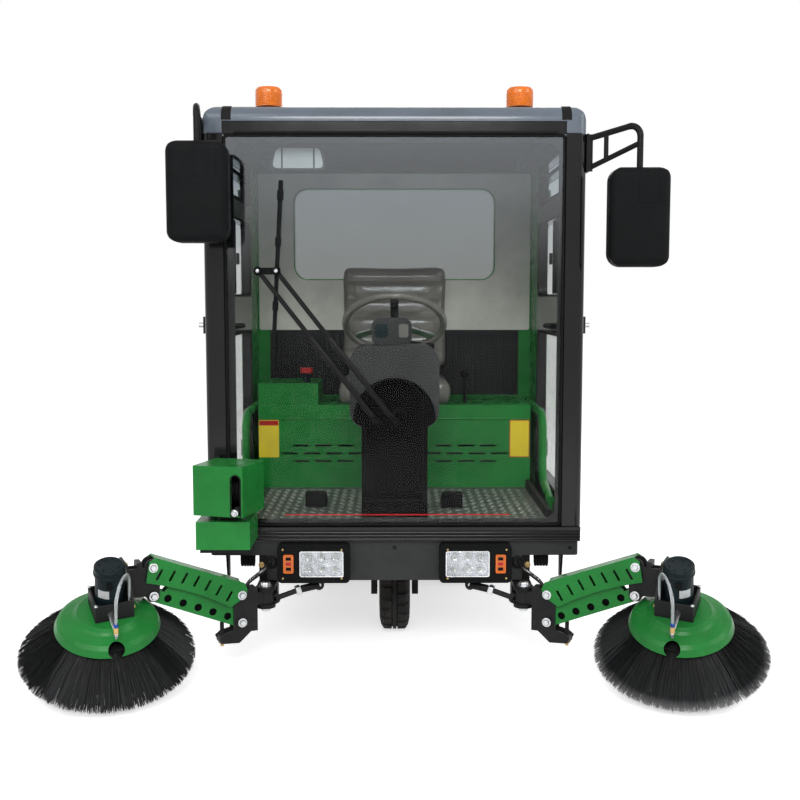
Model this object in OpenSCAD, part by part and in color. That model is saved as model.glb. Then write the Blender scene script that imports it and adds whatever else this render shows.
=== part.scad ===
// Street sweeper: a small ride-on road sweeper with a closed glass cab, one steered front wheel,
// a sweeping roller and dust hopper behind, and two side brushes on parallel-link arms.
// Millimetres, Z up, the front faces -Y and the driver's left is +X.
// Inside placed(), y counts back from the windscreen's outer face.

/* [Cab] */
// Width of the cab over its corner pillars
cab_w = 1320; // [1290:10:1400]
// Length of the cab from the windscreen to the back of its rear wall
cab_len = 1215; // [1180:5:1300]
// Height of the roof's top
roof_top = 1952; // [1900:2:2050]
// Thickness of the roof
roof_t = 96; // [80:2:120]
// Radius of the roof's rounded front, rear and side edges
roof_edge_r = 46; // [40:1:54]
// Height of the ledge under the windscreen
sill_top = 492; // [486:2:520]
// Height of the ribbed ledge
ledge_h = 50; // [40:1:60]
// Height of the plain band under the ledge
band_h = 52; // [40:1:60]
// Width of a front pillar
pillar_w = 70; // [60:1:80]
// Depth of a front pillar
pillar_d = 76; // [60:1:76]
// Thickness of a door and of the quarter panel behind it
door_t = 40; // [30:1:46]
// Length of a door
door_len = 885; // [860:5:890]
// Gap all round a door
door_gap = 6; // [5:1:8]
// Thickness of the rear wall
rear_wall_t = 35; // [25:1:45]
// Thickness of the glass
glass_t = 6; // [4:1:8]

/* [Chassis] */
// Height of the two frame rails
rail_h = 80; // [60:2:84]
// Width of a frame rail
rail_w = 60; // [40:2:64]
// Spacing of the frame rails, centre to centre
rail_pitch = 540; // [524:4:580]
// Thickness of the floor plate
floor_t = 20; // [12:1:30]
// Distance of the body's rear end behind the windscreen
rear_end = 1950; // [1900:10:2050]
// Radius of the towing hole
tow_r = 13; // [10:1:16]

/* [Wheels] */
// Radius of a tyre
tyre_r = 207; // [200:1:208]
// Width of a tyre
tyre_w = 118; // [100:2:120]
// Radius of a rim
rim_r = 102; // [95:1:110]
// Distance of the steered wheel behind the windscreen
steer_s = 413; // [400:1:430]
// Distance of the rear axle behind the windscreen
rear_axle_s = 1500; // [1490:5:1560]
// Distance between the rear wheels, centre to centre
rear_track = 1060; // [1040:5:1080]
// Radius of the axle stubs
axle_r = 18; // [15:1:22]

/* [Side brushes] */
// Radius of the bristle tips
tip_r = 290; // [260:2:296]
// Distance of a brush's centre from the middle of the machine
brush_x = 949; // [940:1:965]
// Distance of a brush's centre in front of the windscreen
brush_front = 290; // [280:1:300]
// Clearance of the lowest bristle tip over the ground
brush_clear = 10; // [8:1:20]
// Lean of a brush towards the front, about its arm
brush_tilt = 22; // [20:0.5:23]
// Radius of the brush cover's rim
cover_r = 168; // [160:1:176]
// Height of the cover's rim above the tip circle, along the brush
cover_rim_h = 126; // [122:1:130]
// Radius of the brush motor
motor_r = 46; // [42:1:50]
// Length of the brush motor
motor_len = 164; // [150:2:180]

/* [Brush arms] */
// Distance of an arm's swing pin from the middle of the machine
swing_x = 450; // [446:1:460]
// Distance of the swing pin in front of the windscreen
swing_front = 78; // [76:1:90]
// Angle of an arm forward of straight sideways
arm_yaw = 25.5; // [24:0.5:27]
// Rise of a parked arm towards the brush
arm_lift = 23; // [21:0.5:24]
// Length of a link between its pins
link_len = 328; // [320:1:340]
// Height of the upper pin over the lower one
link_gap = 96; // [90:1:102]
// Height of the lower inner pin
inner_pin_z = 187; // [184:1:190]
// Radius of the link pins
pin_r = 8; // [6:0.5:9]
// Thickness of a link's sheet
link_sheet = 4; // [3:0.5:5]
// Distance of the inner pins from the swing pin
swing_reach = 97; // [94:1:102]

/* [Sweeping roller] */
// Radius of the roller brush
roller_r = 150; // [140:1:156]
// Length of the roller brush
roller_len = 760; // [700:10:800]
// Distance of the roller behind the windscreen
roller_s = 1130; // [1100:5:1140]

/* [Hopper] */
// Height of the hopper's top
hopper_top = 1330; // [1250:5:1400]
// Thickness of the hopper's walls
hopper_wall = 24; // [16:1:30]
// Height of the side skirt's lower edge
skirt_z = 330; // [300:5:350]

/* [Driver's place] */
// Height of the seat box
seat_box_top = 849; // [820:1:880]
// Distance of the seat box behind the windscreen
seat_box_s = 745; // [720:5:770]
// Width of the seat
seat_w = 500; // [440:5:540]
// Radius of the steering wheel
steering_r = 190; // [170:2:200]
// Rake of the steering column
steering_rake = 35; // [30:1:40]

/* [Lamps, mirrors and wiper] */
// Radius of a roof beacon
beacon_r = 48; // [40:1:55]
// Height of a roof beacon
beacon_h = 82; // [60:1:100]
// Height of a mirror head
mirror_h = 330; // [280:5:350]
// Width of a mirror head
mirror_w = 204; // [170:2:220]
// Length of the wiper's arms
wiper_len = 662; // [600:2:670]
// Length of the wiper blade
blade_len = 660; // [600:10:700]

/* [Fits] */
// Clearance of a pin in its bore and of glass in its frame
fit = 0.3; // [0.2:0.05:0.4]
// Clearance of a moving piece
run_gap = 5; // [5:0.5:8]

/* [Hidden] */
$fn = 64;
black = [0.10, 0.10, 0.11];
charcoal = [0.20, 0.21, 0.21];
green = [0.16, 0.46, 0.21];
amber = [0.90, 0.45, 0.08];
glass_tint = [0.65, 0.75, 0.78, 0.35];
zinc = [0.75, 0.76, 0.78];

cab_half = cab_w / 2;
pillar_front = 15;
tow_reach = 60;
head_lean = 3.5;
tip_ny = cos(brush_tilt) * sin(head_lean) * sin(arm_yaw) + sin(brush_tilt) * cos(arm_yaw);
tip_nz = cos(brush_tilt) * cos(head_lean);
brush_z = brush_clear + tip_r * sqrt(1 - tip_nz * tip_nz);
front_reach = brush_front + tip_r * sqrt(1 - tip_ny * tip_ny);
windscreen_y = -(rear_end + tow_reach - front_reach) / 2;

rail_drop = 12;
rail_top = sill_top - rail_drop;
rail_x = rail_pitch / 2;
rail_bottom = rail_top - rail_h;
floor_top = rail_top + floor_t;
floor_half = cab_half - 90;
cross_d = 60;
sill_front = 28;
sill_depth = 90;
ledge_bottom = sill_top - ledge_h;
band_bottom = ledge_bottom - band_h;
roof_bottom = roof_top - roof_t;

screen_half = cab_half - pillar_w;
door_front = pillar_d - pillar_front + door_gap;
door_rear = door_front + door_len;
door_bottom = sill_top + door_gap;
door_top = roof_bottom - door_gap;
door_out = cab_half - 2;
door_in = door_out - door_t;
hinge_x = cab_half + 8;
hinge_s = door_rear + door_gap / 2;
hinge_r = 10;
hinge_pin_r = 5;
hinge_h = 36;
hinge_zs = [door_bottom + 142, door_bottom + 682, door_top - 130];
quarter_front = door_rear + door_gap;
rear_wall_front = cab_len - rear_wall_t;

tyre_top = 2 * tyre_r;
crown_t = 20;
crown_bottom = tyre_top + 8;
stem_r = 25;
fork_leg_in = tyre_w / 2 + 9;
fork_leg_t = 24;

// Doors: [bottom, top] of each window, from the door's foot to its head
lower_window = door_bottom + 62;
slide_window = door_bottom + 812;
door_windows = [[lower_window, lower_window + 590], [slide_window, slide_window + 290],
    [door_top - 160, door_top - 75], [door_top - 60, door_top - 18]];
door_frame = 46;

arm_dir = 180 + arm_yaw;
inner_x = swing_x + swing_reach * cos(arm_yaw);
inner_front = swing_front + swing_reach * sin(arm_yaw);
link_run = link_len * cos(arm_lift);
link_rise = link_len * sin(arm_lift);
upper_pin_z = inner_pin_z + link_gap;
cheek_in = 21;
cheek_t = 6;
cheek_out = cheek_in + cheek_t;
cheek_r = 27;
link_side = 6;
link_out = cheek_out + link_side + link_sheet;
lower_half = cheek_in - 0.5;
pin_half = link_out + 6;
link_below = 20;
link_end_r = 21.5;
swing_pin_r = 14;
swing_tube_r = 26;
ear_t = 14;
ear_gap = 46;
ear_z = inner_pin_z + link_gap / 2 - ear_t - ear_gap / 2 + 24;

cover_top_h = cover_rim_h + 60;
motor_base_h = cover_top_h + 8;
cradle_half = motor_r + 12;
plate_in = 65;
plate_t = 8;
motor_x = cradle_half - plate_in;
brush_shaft_r = 18;
hose_r = 5;
nozzle_spot = [5, 147];
spray_angle = 88;

roller_z = roller_r + 6;
roller_shaft_r = 16;
hood_gap = 20;
hood_t = 6;
hood_half = roller_len / 2 + 14;

hopper_half = cab_half - 20;
hopper_front = cab_len + 10;
hopper_bottom = rail_top;
skirt_front = hopper_front - 235;
hopper_door_t = 25;
hopper_hinge_z = hopper_top - 12;
louvre_side = 102;
louvre_panel = [rear_end - hopper_front - 2 * louvre_side, 290];
louvre_at = [(hopper_front + rear_end) / 2, hopper_top - 255];
louvre_d = 10;
louvre_t = 4;
louvres = 8;
louvre_pitch = 32;
hopper_hinge_s = rear_end + run_gap + hopper_door_t / 2;
hopper_hinge_x = 380;
hopper_hinge_r = 14;
hopper_hinge_w = 60;
hopper_pin_r = 7;

wiper_s = -28;
wiper_drive = [-62, 867];
wiper_guide = [1, 867];
wiper_angle = 128;
wiper_pin_r = 6;

arm_t = 8;
blade_pin = [wiper_drive[0] + wiper_len * cos(wiper_angle), wiper_drive[1] + wiper_len * sin(wiper_angle)];
guide_pin = [wiper_guide[0] + wiper_len * cos(wiper_angle), wiper_guide[1] + wiper_len * sin(wiper_angle)];

bezel_x = 284;
bezel_w = 254;
bezel_out = 37;
lamp_seat = 8;
lamp_w = 154;
lamp_h = 92;
lamp_x = 256;
lamp_z = 368;
indicator_x = 372;
indicator_w = 36;
indicator_h = 66;
panel_face = 18;
panel_half = 452;
panel_bottom = 300;

seat_front = seat_box_s + 35;
seat_rear_gap = 30;
seat_len = rear_wall_front - seat_front - seat_rear_gap;
seat_side_gap = 70;
cushion_t = 120;
back_h = 470;
back_t = 80;
steering_hub = [0, 450, 1195];
steering_shaft_r = 14;
// Console beside the seat: width, length and height
side_console = [floor_half - seat_w / 2 - seat_side_gap, rear_wall_front - seat_box_s - 135, 90];

mirror_arm_r = 11;
// Each mirror: [side, bracket swung forward by, height of the bracket, height of the head]
mirrors = [[1, 39, 1792, 1565], [-1, 98, 1846, 1642]];
mirror_reach = 190;
mirror_drop = 88;

wheel_bore = axle_r + fit;

// Places and small shapes

module placed() {
    translate([0, windscreen_y, 0]) children();
}

// The right-hand pieces are modelled, and the left-hand ones mirror them
module on_left() {
    mirror([1, 0, 0]) children();
}

module both_sides() {
    children();
    mirror([1, 0, 0]) children();
}

module rounded(w, h, r) {
    square([w - 2 * r, h], center = true);
    square([w, h - 2 * r], center = true);
    for (x = [-1, 1], y = [-1, 1]) translate([x * (w / 2 - r), y * (h / 2 - r)]) circle(r);
}

// Upright plate: its outline is drawn in (y, z) and it is t thick from x
module side_plate(x, t) {
    translate([x, 0, 0]) rotate([90, 0, 90]) linear_extrude(t) children();
}

// Upright plate: its outline is drawn in (x, z), from y back by t
module face_plate(y, t) {
    translate([0, y + t, 0]) rotate([90, 0, 0]) linear_extrude(t) children();
}

// Tube along +Z with bends towards +X; a run is [straight, bend angle, bend radius, roll first].
// The straight runs are a little thinner than the bends and pass into them.
module bent_tube(r, runs, i = 0) {
    straight = runs[i][0];
    bend = runs[i][1];
    radius = runs[i][2];
    lap = 2;
    start = i > 0 ? -lap : 0;
    end = bend > 0 ? straight + lap : straight;
    rotate([0, 0, runs[i][3]]) {
        translate([0, 0, start]) cylinder(r = r - 0.4, h = end - start);
        if (bend > 0) {
            translate([radius, 0, straight]) rotate([90, 0, 0]) rotate([0, 0, 180 - bend])
                rotate_extrude(angle = bend) translate([radius, 0]) circle(r);
            if (i + 1 < len(runs))
                translate([radius, 0, straight]) rotate([0, bend, 0]) translate([-radius, 0, 0])
                    bent_tube(r, runs, i + 1);
        }
    }
}

// Frame of an arm: X runs out along the arm, Y faces forward and inward, at an inner pin
module at_arm(z) {
    translate([-inner_x, -inner_front, z]) rotate([0, 0, arm_dir]) children();
}

module at_link(z) {
    at_arm(z) rotate([0, -arm_lift, 0]) children();
}

// Frame of a brush: Z runs up its axis from the tip circle
module at_brush() {
    translate([-brush_x, -brush_front, brush_z]) rotate([-brush_tilt, head_lean, arm_dir]) children();
}

// Outline in (x, z) of the arm's frame, made into a plate between two values of y
module arm_plate(y0, y1) {
    translate([0, y1, 0]) rotate([90, 0, 0]) linear_extrude(y1 - y0) children();
}

// Outline made into the two cheeks of a fork, one at each side of an arm
module cheek_pair() {
    arm_plate(-cheek_out, -cheek_in) children();
    arm_plate(cheek_in, cheek_out) children();
}

module arm_pin(x, z, half) {
    translate([x, 0, z]) rotate([90, 0, 0]) cylinder(r = pin_r, h = 2 * half, center = true);
}

// Frame and floor

module brush_ears() {
    post_half = 32;
    ear_r = 34;
    translate([-swing_x - post_half, 6, ear_z]) cube([2 * post_half, cross_d - 10, rail_bottom - ear_z]);
    for (z = [ear_z, ear_z + ear_t + ear_gap]) {
        translate([-swing_x, -swing_front, z]) cylinder(r = ear_r, h = ear_t);
        translate([-swing_x - post_half, -swing_front, z])
            cube([2 * post_half, swing_front + 20, ear_t]);
    }
    translate([-swing_x, -swing_front, ear_z]) cylinder(r = swing_pin_r, h = 2 * ear_t + ear_gap);
}

module corner_gusset() {
    inset = 60;
    sheet = 8;
    drop = 100;
    side_plate(-cab_half + inset, sheet) translate([0, rail_bottom])
        polygon([[0, 0], [cross_d, 0], [cross_d, -drop], [cross_d / 2, -drop]]);
}

module chassis() color(black) placed() {
    cross_half = cab_half - 50;
    king_h = rail_top - crown_bottom - crown_t - 2;
    king_d = 130;
    difference() {
        union() {
            for (k = [-1, 1]) translate([k * rail_x - rail_w / 2, 0, rail_bottom])
                cube([rail_w, rear_end - 12, rail_h]);
            translate([-cross_half, 0, rail_bottom]) cube([2 * cross_half, cross_d, rail_h]);
            for (s = [seat_box_s, cab_len - cross_d]) translate([-floor_half, s, rail_top - 50])
                cube([2 * floor_half, cross_d, 50]);
            translate([-rail_x, steer_s - king_d / 2, rail_top - king_h]) cube([2 * rail_x, king_d, king_h]);
        }
        translate([0, steer_s, rail_bottom]) cylinder(r = stem_r + fit, h = rail_h + 1);
    }
    both_sides() {
        brush_ears();
        corner_gusset();
    }
    tow_plate();
}

// Towing tongue with its hole, hung from a cross bar between the rails' rear ends
module tow_plate() {
    tow_half = 60;
    plate_t = 16;
    drop = 70;
    tow_z = rail_bottom - drop;
    bar_s = rear_end - 60;
    translate([-rail_x, bar_s, rail_bottom]) cube([2 * rail_x, 48, rail_h]);
    translate([-tow_half, bar_s + 48 - plate_t, tow_z]) cube([2 * tow_half, plate_t, drop + 1]);
    difference() {
        translate([0, rear_end, tow_z]) linear_extrude(plate_t) intersection() {
            rounded(2 * tow_half, 2 * tow_reach, 30);
            translate([-tow_half, -28]) square([2 * tow_half, tow_reach + 28]);
        }
        translate([0, rear_end + tow_reach / 2, tow_z - 1]) cylinder(r = tow_r, h = plate_t + 2);
    }
}

module floor_pan() color([0.30, 0.34, 0.31]) placed() {
    translate([-floor_half, sill_depth - sill_front, rail_top])
        cube([2 * floor_half, rear_wall_front - sill_depth + sill_front, floor_t]);
}

// Cab shell

// Ledge and band across the front, with ribs and round outer corners, and a sill along each side
module cab_sill() color(black) placed() {
    rib_r = 5;
    rib_zs = [ledge_bottom + 9, ledge_bottom + 21, ledge_bottom + 33];
    ledge_half = cab_half - 5;
    band_face = 18;
    difference() {
        union() {
            translate([-ledge_half, -sill_front, rail_top]) cube([2 * ledge_half, sill_depth, rail_drop]);
            translate([-ledge_half, -sill_front, ledge_bottom]) cube([2 * ledge_half, sill_front, ledge_h]);
            translate([0, 0, band_bottom]) linear_extrude(band_h) intersection() {
                rounded(2 * ledge_half - 10, 2 * band_face, 16);
                translate([-cab_half, -band_face]) square([2 * cab_half, band_face]);
            }
        }
        for (z = rib_zs) translate([-cab_half, -sill_front, z]) rotate([0, 90, 0])
            cylinder(r = rib_r, h = 2 * cab_half);
    }
    both_sides() translate([floor_half + 5, sill_depth - sill_front, rail_top - 40])
        cube([ledge_half - floor_half - 5, rear_wall_front - sill_depth + sill_front, 40 + rail_drop]);
}

module pillar_outline() {
    r = 26;
    intersection() {
        rounded(2 * pillar_w, 2 * pillar_d, r);
        translate([0, -pillar_d]) square([pillar_w, pillar_d]);
    }
}

module front_pillars() color(black) placed() {
    both_sides() translate([screen_half, pillar_d - pillar_front, sill_top])
        linear_extrude(roof_bottom - sill_top) pillar_outline();
}

// Section of the roof: wide round shoulders above and a small round edge below
module roof_section(w, top_r) {
    low_r = 6;
    translate([-w / 2, low_r]) square([w, roof_t - top_r - low_r]);
    translate([-w / 2 + low_r, 0]) square([w - 2 * low_r, roof_t - top_r]);
    translate([-w / 2 + top_r, low_r]) square([w - 2 * top_r, roof_t - low_r]);
    for (k = [-1, 1]) {
        translate([k * (w / 2 - top_r), roof_t - top_r]) circle(top_r);
        translate([k * (w / 2 - low_r), low_r]) circle(low_r);
    }
}

module roof() color(charcoal) placed() {
    roof_len = cab_len + pillar_front;
    plan_r = 30;
    side_r = roof_edge_r + 16;
    recess = 46;
    liner = 60;
    header_h = 42;
    header_in = 5;
    translate([0, roof_len / 2 - pillar_front, roof_bottom]) difference() {
        intersection() {
            linear_extrude(roof_t) rounded(cab_w, roof_len, plan_r);
            translate([0, roof_len / 2, 0]) rotate([90, 0, 0]) linear_extrude(roof_len)
                roof_section(cab_w, side_r);
            translate([-cab_half, 0, 0]) rotate([90, 0, 90]) linear_extrude(cab_w)
                roof_section(roof_len, roof_edge_r);
        }
        translate([-screen_half, -roof_len / 2 - 1, -1]) cube([2 * screen_half, header_in + 1, header_h + 1]);
        translate([0, 0, -1]) linear_extrude(recess + 1)
            rounded(cab_w - 2 * pillar_w - liner, roof_len - 2 * pillar_d - liner, 40);
    }
}

module rear_window_outline(grow) {
    rear_window = [900, 400, 60];
    rail = 76;
    translate([0, roof_bottom - rail - rear_window[1] / 2])
        rounded(rear_window[0] + grow, rear_window[1] + grow, rear_window[2]);
}

module cab_glass() color(glass_tint) placed() {
    wiper_hole = 14;
    difference() {
        translate([-screen_half + fit, 0, sill_top])
            cube([2 * screen_half - 2 * fit, glass_t, roof_bottom - sill_top]);
        for (p = [wiper_drive, wiper_guide]) translate([p[0], glass_t + 1, p[1]]) rotate([90, 0, 0])
            cylinder(r = wiper_hole, h = glass_t + 2);
    }
    face_plate(rear_wall_front + (rear_wall_t - glass_t) / 2, glass_t) rear_window_outline(-2 * fit);
}

module hinge_knuckles() {
    knuckle = hinge_h / 2 - 0.5;
    for (z = hinge_zs) {
        for (k = [-1, 1]) translate([hinge_x, hinge_s, z + k * (hinge_h / 2 + knuckle / 2 + 0.5)]) {
            cylinder(r = hinge_r, h = knuckle, center = true);
            translate([door_out - 1 - hinge_x, 0, -knuckle / 2]) cube([hinge_x - door_out + 1, 50, knuckle]);
        }
        translate([hinge_x, hinge_s, z - hinge_h]) cylinder(r = hinge_pin_r, h = 2 * hinge_h);
    }
}

// Rear wall with its window, and a quarter panel with the door hinges at each side
module cab_rear_wall() color(green) placed() {
    difference() {
        face_plate(rear_wall_front, rear_wall_t) translate([0, (roof_bottom + rail_top) / 2])
            square([cab_w - 4, roof_bottom - rail_top], center = true);
        face_plate(rear_wall_front - 1, rear_wall_t + 2) rear_window_outline(0);
    }
    both_sides() {
        translate([door_in, quarter_front, sill_top])
            cube([door_t, rear_wall_front - quarter_front, roof_bottom - sill_top]);
        hinge_knuckles();
    }
}

// Doors

module door_window(w, grow) {
    s0 = door_front + door_frame;
    s1 = door_rear - door_frame;
    h = w[1] - w[0];
    translate([(s0 + s1) / 2, (w[0] + w[1]) / 2]) rounded(s1 - s0 + grow, h + grow, min(24, h / 2 - 6));
}

module door() {
    lock_z = door_bottom + 702;
    lock = [22, 34, 60];
    lock_from = 8;
    barrel_r = 9;
    barrel_out = 38;
    leaf = 60;
    difference() {
        side_plate(door_in, door_t) translate([door_front, door_bottom])
            square([door_len, door_top - door_bottom]);
        for (w = door_windows) side_plate(door_in - 1, door_t + 2) door_window(w, 0);
    }
    difference() {
        for (z = hinge_zs) {
            translate([hinge_x, hinge_s, z - hinge_h / 2]) cylinder(r = hinge_r, h = hinge_h);
            translate([door_out - 1, hinge_s - leaf, z - hinge_h / 2])
                cube([hinge_x - door_out + 1, leaf, hinge_h]);
        }
        for (z = hinge_zs) translate([hinge_x, hinge_s, z - hinge_h])
            cylinder(r = hinge_pin_r + fit, h = 2 * hinge_h);
    }
    translate([door_out - 1, door_front + lock_from, lock_z - lock[2] / 2]) cube(lock);
    translate([door_out + lock[0] - 2, door_front + lock_from + lock[1] / 2, lock_z]) rotate([0, 90, 0])
        cylinder(r = barrel_r, h = barrel_out - lock[0] + 2);
}

module door_glass() {
    for (w = door_windows) side_plate(door_in + (door_t - glass_t) / 2, glass_t) door_window(w, -2 * fit);
}

module door_left() color(black) placed() door();
module door_right() color(black) placed() on_left() door();
module door_glass_left() color(glass_tint) placed() door_glass();
module door_glass_right() color(glass_tint) placed() on_left() door_glass();

// Front panel and lamps

module at_lamp(x, face) {
    translate([x, -face, lamp_z]) rotate([90, 0, 0]) children();
}

module front_panel() color(charcoal) placed() {
    plate_t = 12;
    bezel_h = 138;
    difference() {
        union() {
            translate([-panel_half, -panel_face, panel_bottom])
                cube([2 * panel_half, plate_t, band_bottom - panel_bottom]);
            translate([-panel_half, -panel_face, band_bottom - plate_t])
                cube([2 * panel_half, panel_face, plate_t]);
            both_sides() at_lamp(bezel_x, panel_face) linear_extrude(bezel_out) rounded(bezel_w, bezel_h, 16);
        }
        both_sides() {
            at_lamp(lamp_x, panel_face + lamp_seat) linear_extrude(bezel_out) rounded(lamp_w, lamp_h, 8);
            at_lamp(indicator_x, panel_face + lamp_seat) linear_extrude(bezel_out)
                rounded(indicator_w, indicator_h, 6);
        }
    }
}

module headlamps() color([0.92, 0.93, 0.95]) placed() {
    both_sides() at_lamp(lamp_x, panel_face + lamp_seat) linear_extrude(bezel_out - 2)
        rounded(lamp_w - 2 * fit, lamp_h - 2 * fit, 8);
}

module amber_lamps() color(amber) placed() {
    side_lamp = [7, 70, 34];
    beacon_x = 442;
    beacon_s = 120;
    both_sides() {
        at_lamp(indicator_x, panel_face + lamp_seat) linear_extrude(bezel_out - 2)
            rounded(indicator_w - 2 * fit, indicator_h - 2 * fit, 6);
        translate([beacon_x, beacon_s, roof_top]) {
            cylinder(r = beacon_r + 2, h = 16);
            cylinder(r = beacon_r, h = beacon_h - 10);
            cylinder(r = beacon_r - 8, h = beacon_h);
        }
        translate([hopper_half, skirt_front + 74, skirt_z + 42]) cube(side_lamp);
    }
}

// Driver's place

module slot_rows() {
    for (row = [[677, 3], [644, 4], [611, 3]], i = [0 : row[1] - 1])
        translate([(i - (row[1] - 1) / 2) * 94, row[0]]) rounded(70, 9, 4);
}

// Hollow box under the seat, with cooling slots in front and a side console on its top
module seat_box() color(green) placed() {
    sheet = 8;
    slots_x = 300;
    difference() {
        translate([-floor_half, seat_box_s, floor_top])
            cube([2 * floor_half, rear_wall_front - seat_box_s, seat_box_top - floor_top]);
        translate([-floor_half + sheet, seat_box_s + sheet, floor_top - 1])
            cube([2 * floor_half - 2 * sheet, rear_wall_front - seat_box_s - 2 * sheet,
                seat_box_top - floor_top - sheet + 1]);
        face_plate(seat_box_s - 1, sheet + 2) for (k = [-1, 1]) translate([k * slots_x, 0]) slot_rows();
    }
    translate([-floor_half, seat_box_s + 6, seat_box_top]) cube(side_console);
}

module battery_pack() color([0.25, 0.26, 0.28]) placed() {
    side_gap = 150;
    front_gap = 60;
    rear_gap = 45;
    pack_h = 250;
    translate([-floor_half + side_gap, seat_box_s + front_gap, floor_top])
        cube([2 * (floor_half - side_gap), rear_wall_front - seat_box_s - front_gap - rear_gap, pack_h]);
}

module seat_cushion() color([0.14, 0.14, 0.15]) placed() {
    corner_r = 50;
    translate([0, seat_front + seat_len / 2, seat_box_top]) linear_extrude(cushion_t)
        rounded(seat_w, seat_len, corner_r);
}

module seat_backrest() color([0.14, 0.14, 0.15]) placed() {
    back_lean = 5;
    back_gap = 54;
    lift = 7.3;
    corner_r = 70;
    translate([0, rear_wall_front - back_gap - back_t, seat_box_top + cushion_t + lift])
        rotate([-back_lean, 0, 0]) face_plate(0, back_t) translate([0, back_h / 2])
            rounded(seat_w - 20, back_h, corner_r);
}

module steering_console() color(black) placed() {
    front = 110;
    column = [240, 220, 340];
    barrel = [324, 230, 296];
    barrel_z = 976;
    pod = [150, 90, 104];
    pod_at = [-10, 270, 1170];
    tube_r = 34;
    tube_len = 190;
    tube_end = 40;
    bore_len = 120;
    recess_d = 60;
    recess_r = 105;
    recess_z = 900;
    column_rim = 15;
    boss = [150, 190, 60];
    boss_at = (wiper_drive + wiper_guide) / 2;
    difference() {
        union() {
            translate([-column[0] / 2, front, floor_top]) cube(column);
            translate([0, front, barrel_z]) rotate([-90, 0, 0]) linear_extrude(barrel[1])
                rounded(barrel[0], barrel[2], 60);
            translate(pod_at) rotate([-90, 0, 0]) linear_extrude(pod[1]) rounded(pod[0], pod[2], 30);
            translate(steering_hub) rotate([-steering_rake, 0, 0]) translate([0, 0, -tube_end - tube_len])
                cylinder(r = tube_r, h = tube_len);
        }
        translate([0, front - 10, recess_z]) rotate([-90, 0, 0]) cylinder(r = recess_r, h = recess_d + 10);
        translate([-column[0] / 2 + column_rim, front - 10, floor_top + recess_d])
            cube([column[0] - 2 * column_rim, recess_d + 10, column[2]]);
        translate(steering_hub) rotate([-steering_rake, 0, 0]) translate([0, 0, -bore_len])
            cylinder(r = steering_shaft_r + fit, h = bore_len);
    }
    translate([boss_at[0] - boss[0] / 2, glass_t + 2, boss_at[1] - boss[2] / 2]) cube(boss);
    for (p = [wiper_drive, wiper_guide]) translate([p[0], glass_t + 3, p[1]]) rotate([90, 0, 0])
        cylinder(r = wiper_pin_r, h = glass_t + 3 - wiper_s + 14);
}

module steering_wheel() color(black) placed() {
    rim_tube = 14;
    spoke = [16, 8];
    boss_r = 32;
    shaft_len = 100;
    translate(steering_hub) rotate([-steering_rake, 0, 0]) {
        rotate_extrude() translate([steering_r, 0]) circle(rim_tube);
        translate([0, 0, -30]) cylinder(r = boss_r, h = 40);
        translate([0, 0, -shaft_len]) cylinder(r = steering_shaft_r, h = shaft_len);
        for (a = [30, 150, 270]) rotate([0, 0, a]) translate([20, -spoke[0], -spoke[1] / 2])
            cube([steering_r - 25, 2 * spoke[0], spoke[1]]);
    }
}

// Two pedals, an emergency stop and a drive lever
module controls() color([0.15, 0.15, 0.16]) placed() {
    pedal_w = 80;
    pedals = [[-300, 300], [219, 288]];
    stop_at = [-seat_w / 2 - seat_side_gap - 53, seat_box_s + 75];
    stop_stem = [16, 40];
    stop_head = [26, 22];
    lever_at = [seat_w / 2 + 50, seat_box_s + 85];
    lever_h = 120;
    knob_r = 22;
    for (p = pedals) translate([p[0] - pedal_w / 2, p[1], floor_top])
        side_plate(0, pedal_w) polygon([[0, 0], [120, 0], [120, 12], [0, 62], [-8, 52]]);
    translate([stop_at[0], stop_at[1], seat_box_top + side_console[2]]) {
        cylinder(r = stop_stem[0], h = stop_stem[1]);
        translate([0, 0, stop_stem[1]]) cylinder(r = stop_head[0], h = stop_head[1]);
    }
    translate([lever_at[0], lever_at[1], seat_box_top]) {
        cylinder(r = 8, h = lever_h);
        translate([0, 0, lever_h + 5]) sphere(r = knob_r);
    }
}

module grab_rails() color(green) placed() {
    rail_r = 16;
    rail_z = 834;
    bend_r = 80;
    front_s = 530;
    drop = 115;
    turn = 80;
    run = 180;
    end_s = front_s - bend_r * (1 - cos(turn)) - run * sin(turn);
    end_z = rail_z - bend_r - drop - bend_r * sin(turn) - run * cos(turn);
    both_sides() translate([cab_half - 66, 0, 0]) {
        translate([0, rear_wall_front, rail_z]) rotate([90, 0, 0]) rotate([0, 0, -90]) bent_tube(rail_r,
            [[rear_wall_front - front_s - bend_r, 90, bend_r, 0], [drop, turn, bend_r, 180], [run, 0, 0, 0]]);
        translate([0, end_s + 8, sill_top]) cylinder(r = 9, h = end_z - sill_top);
    }
}

// Things on the cab's outside

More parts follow.
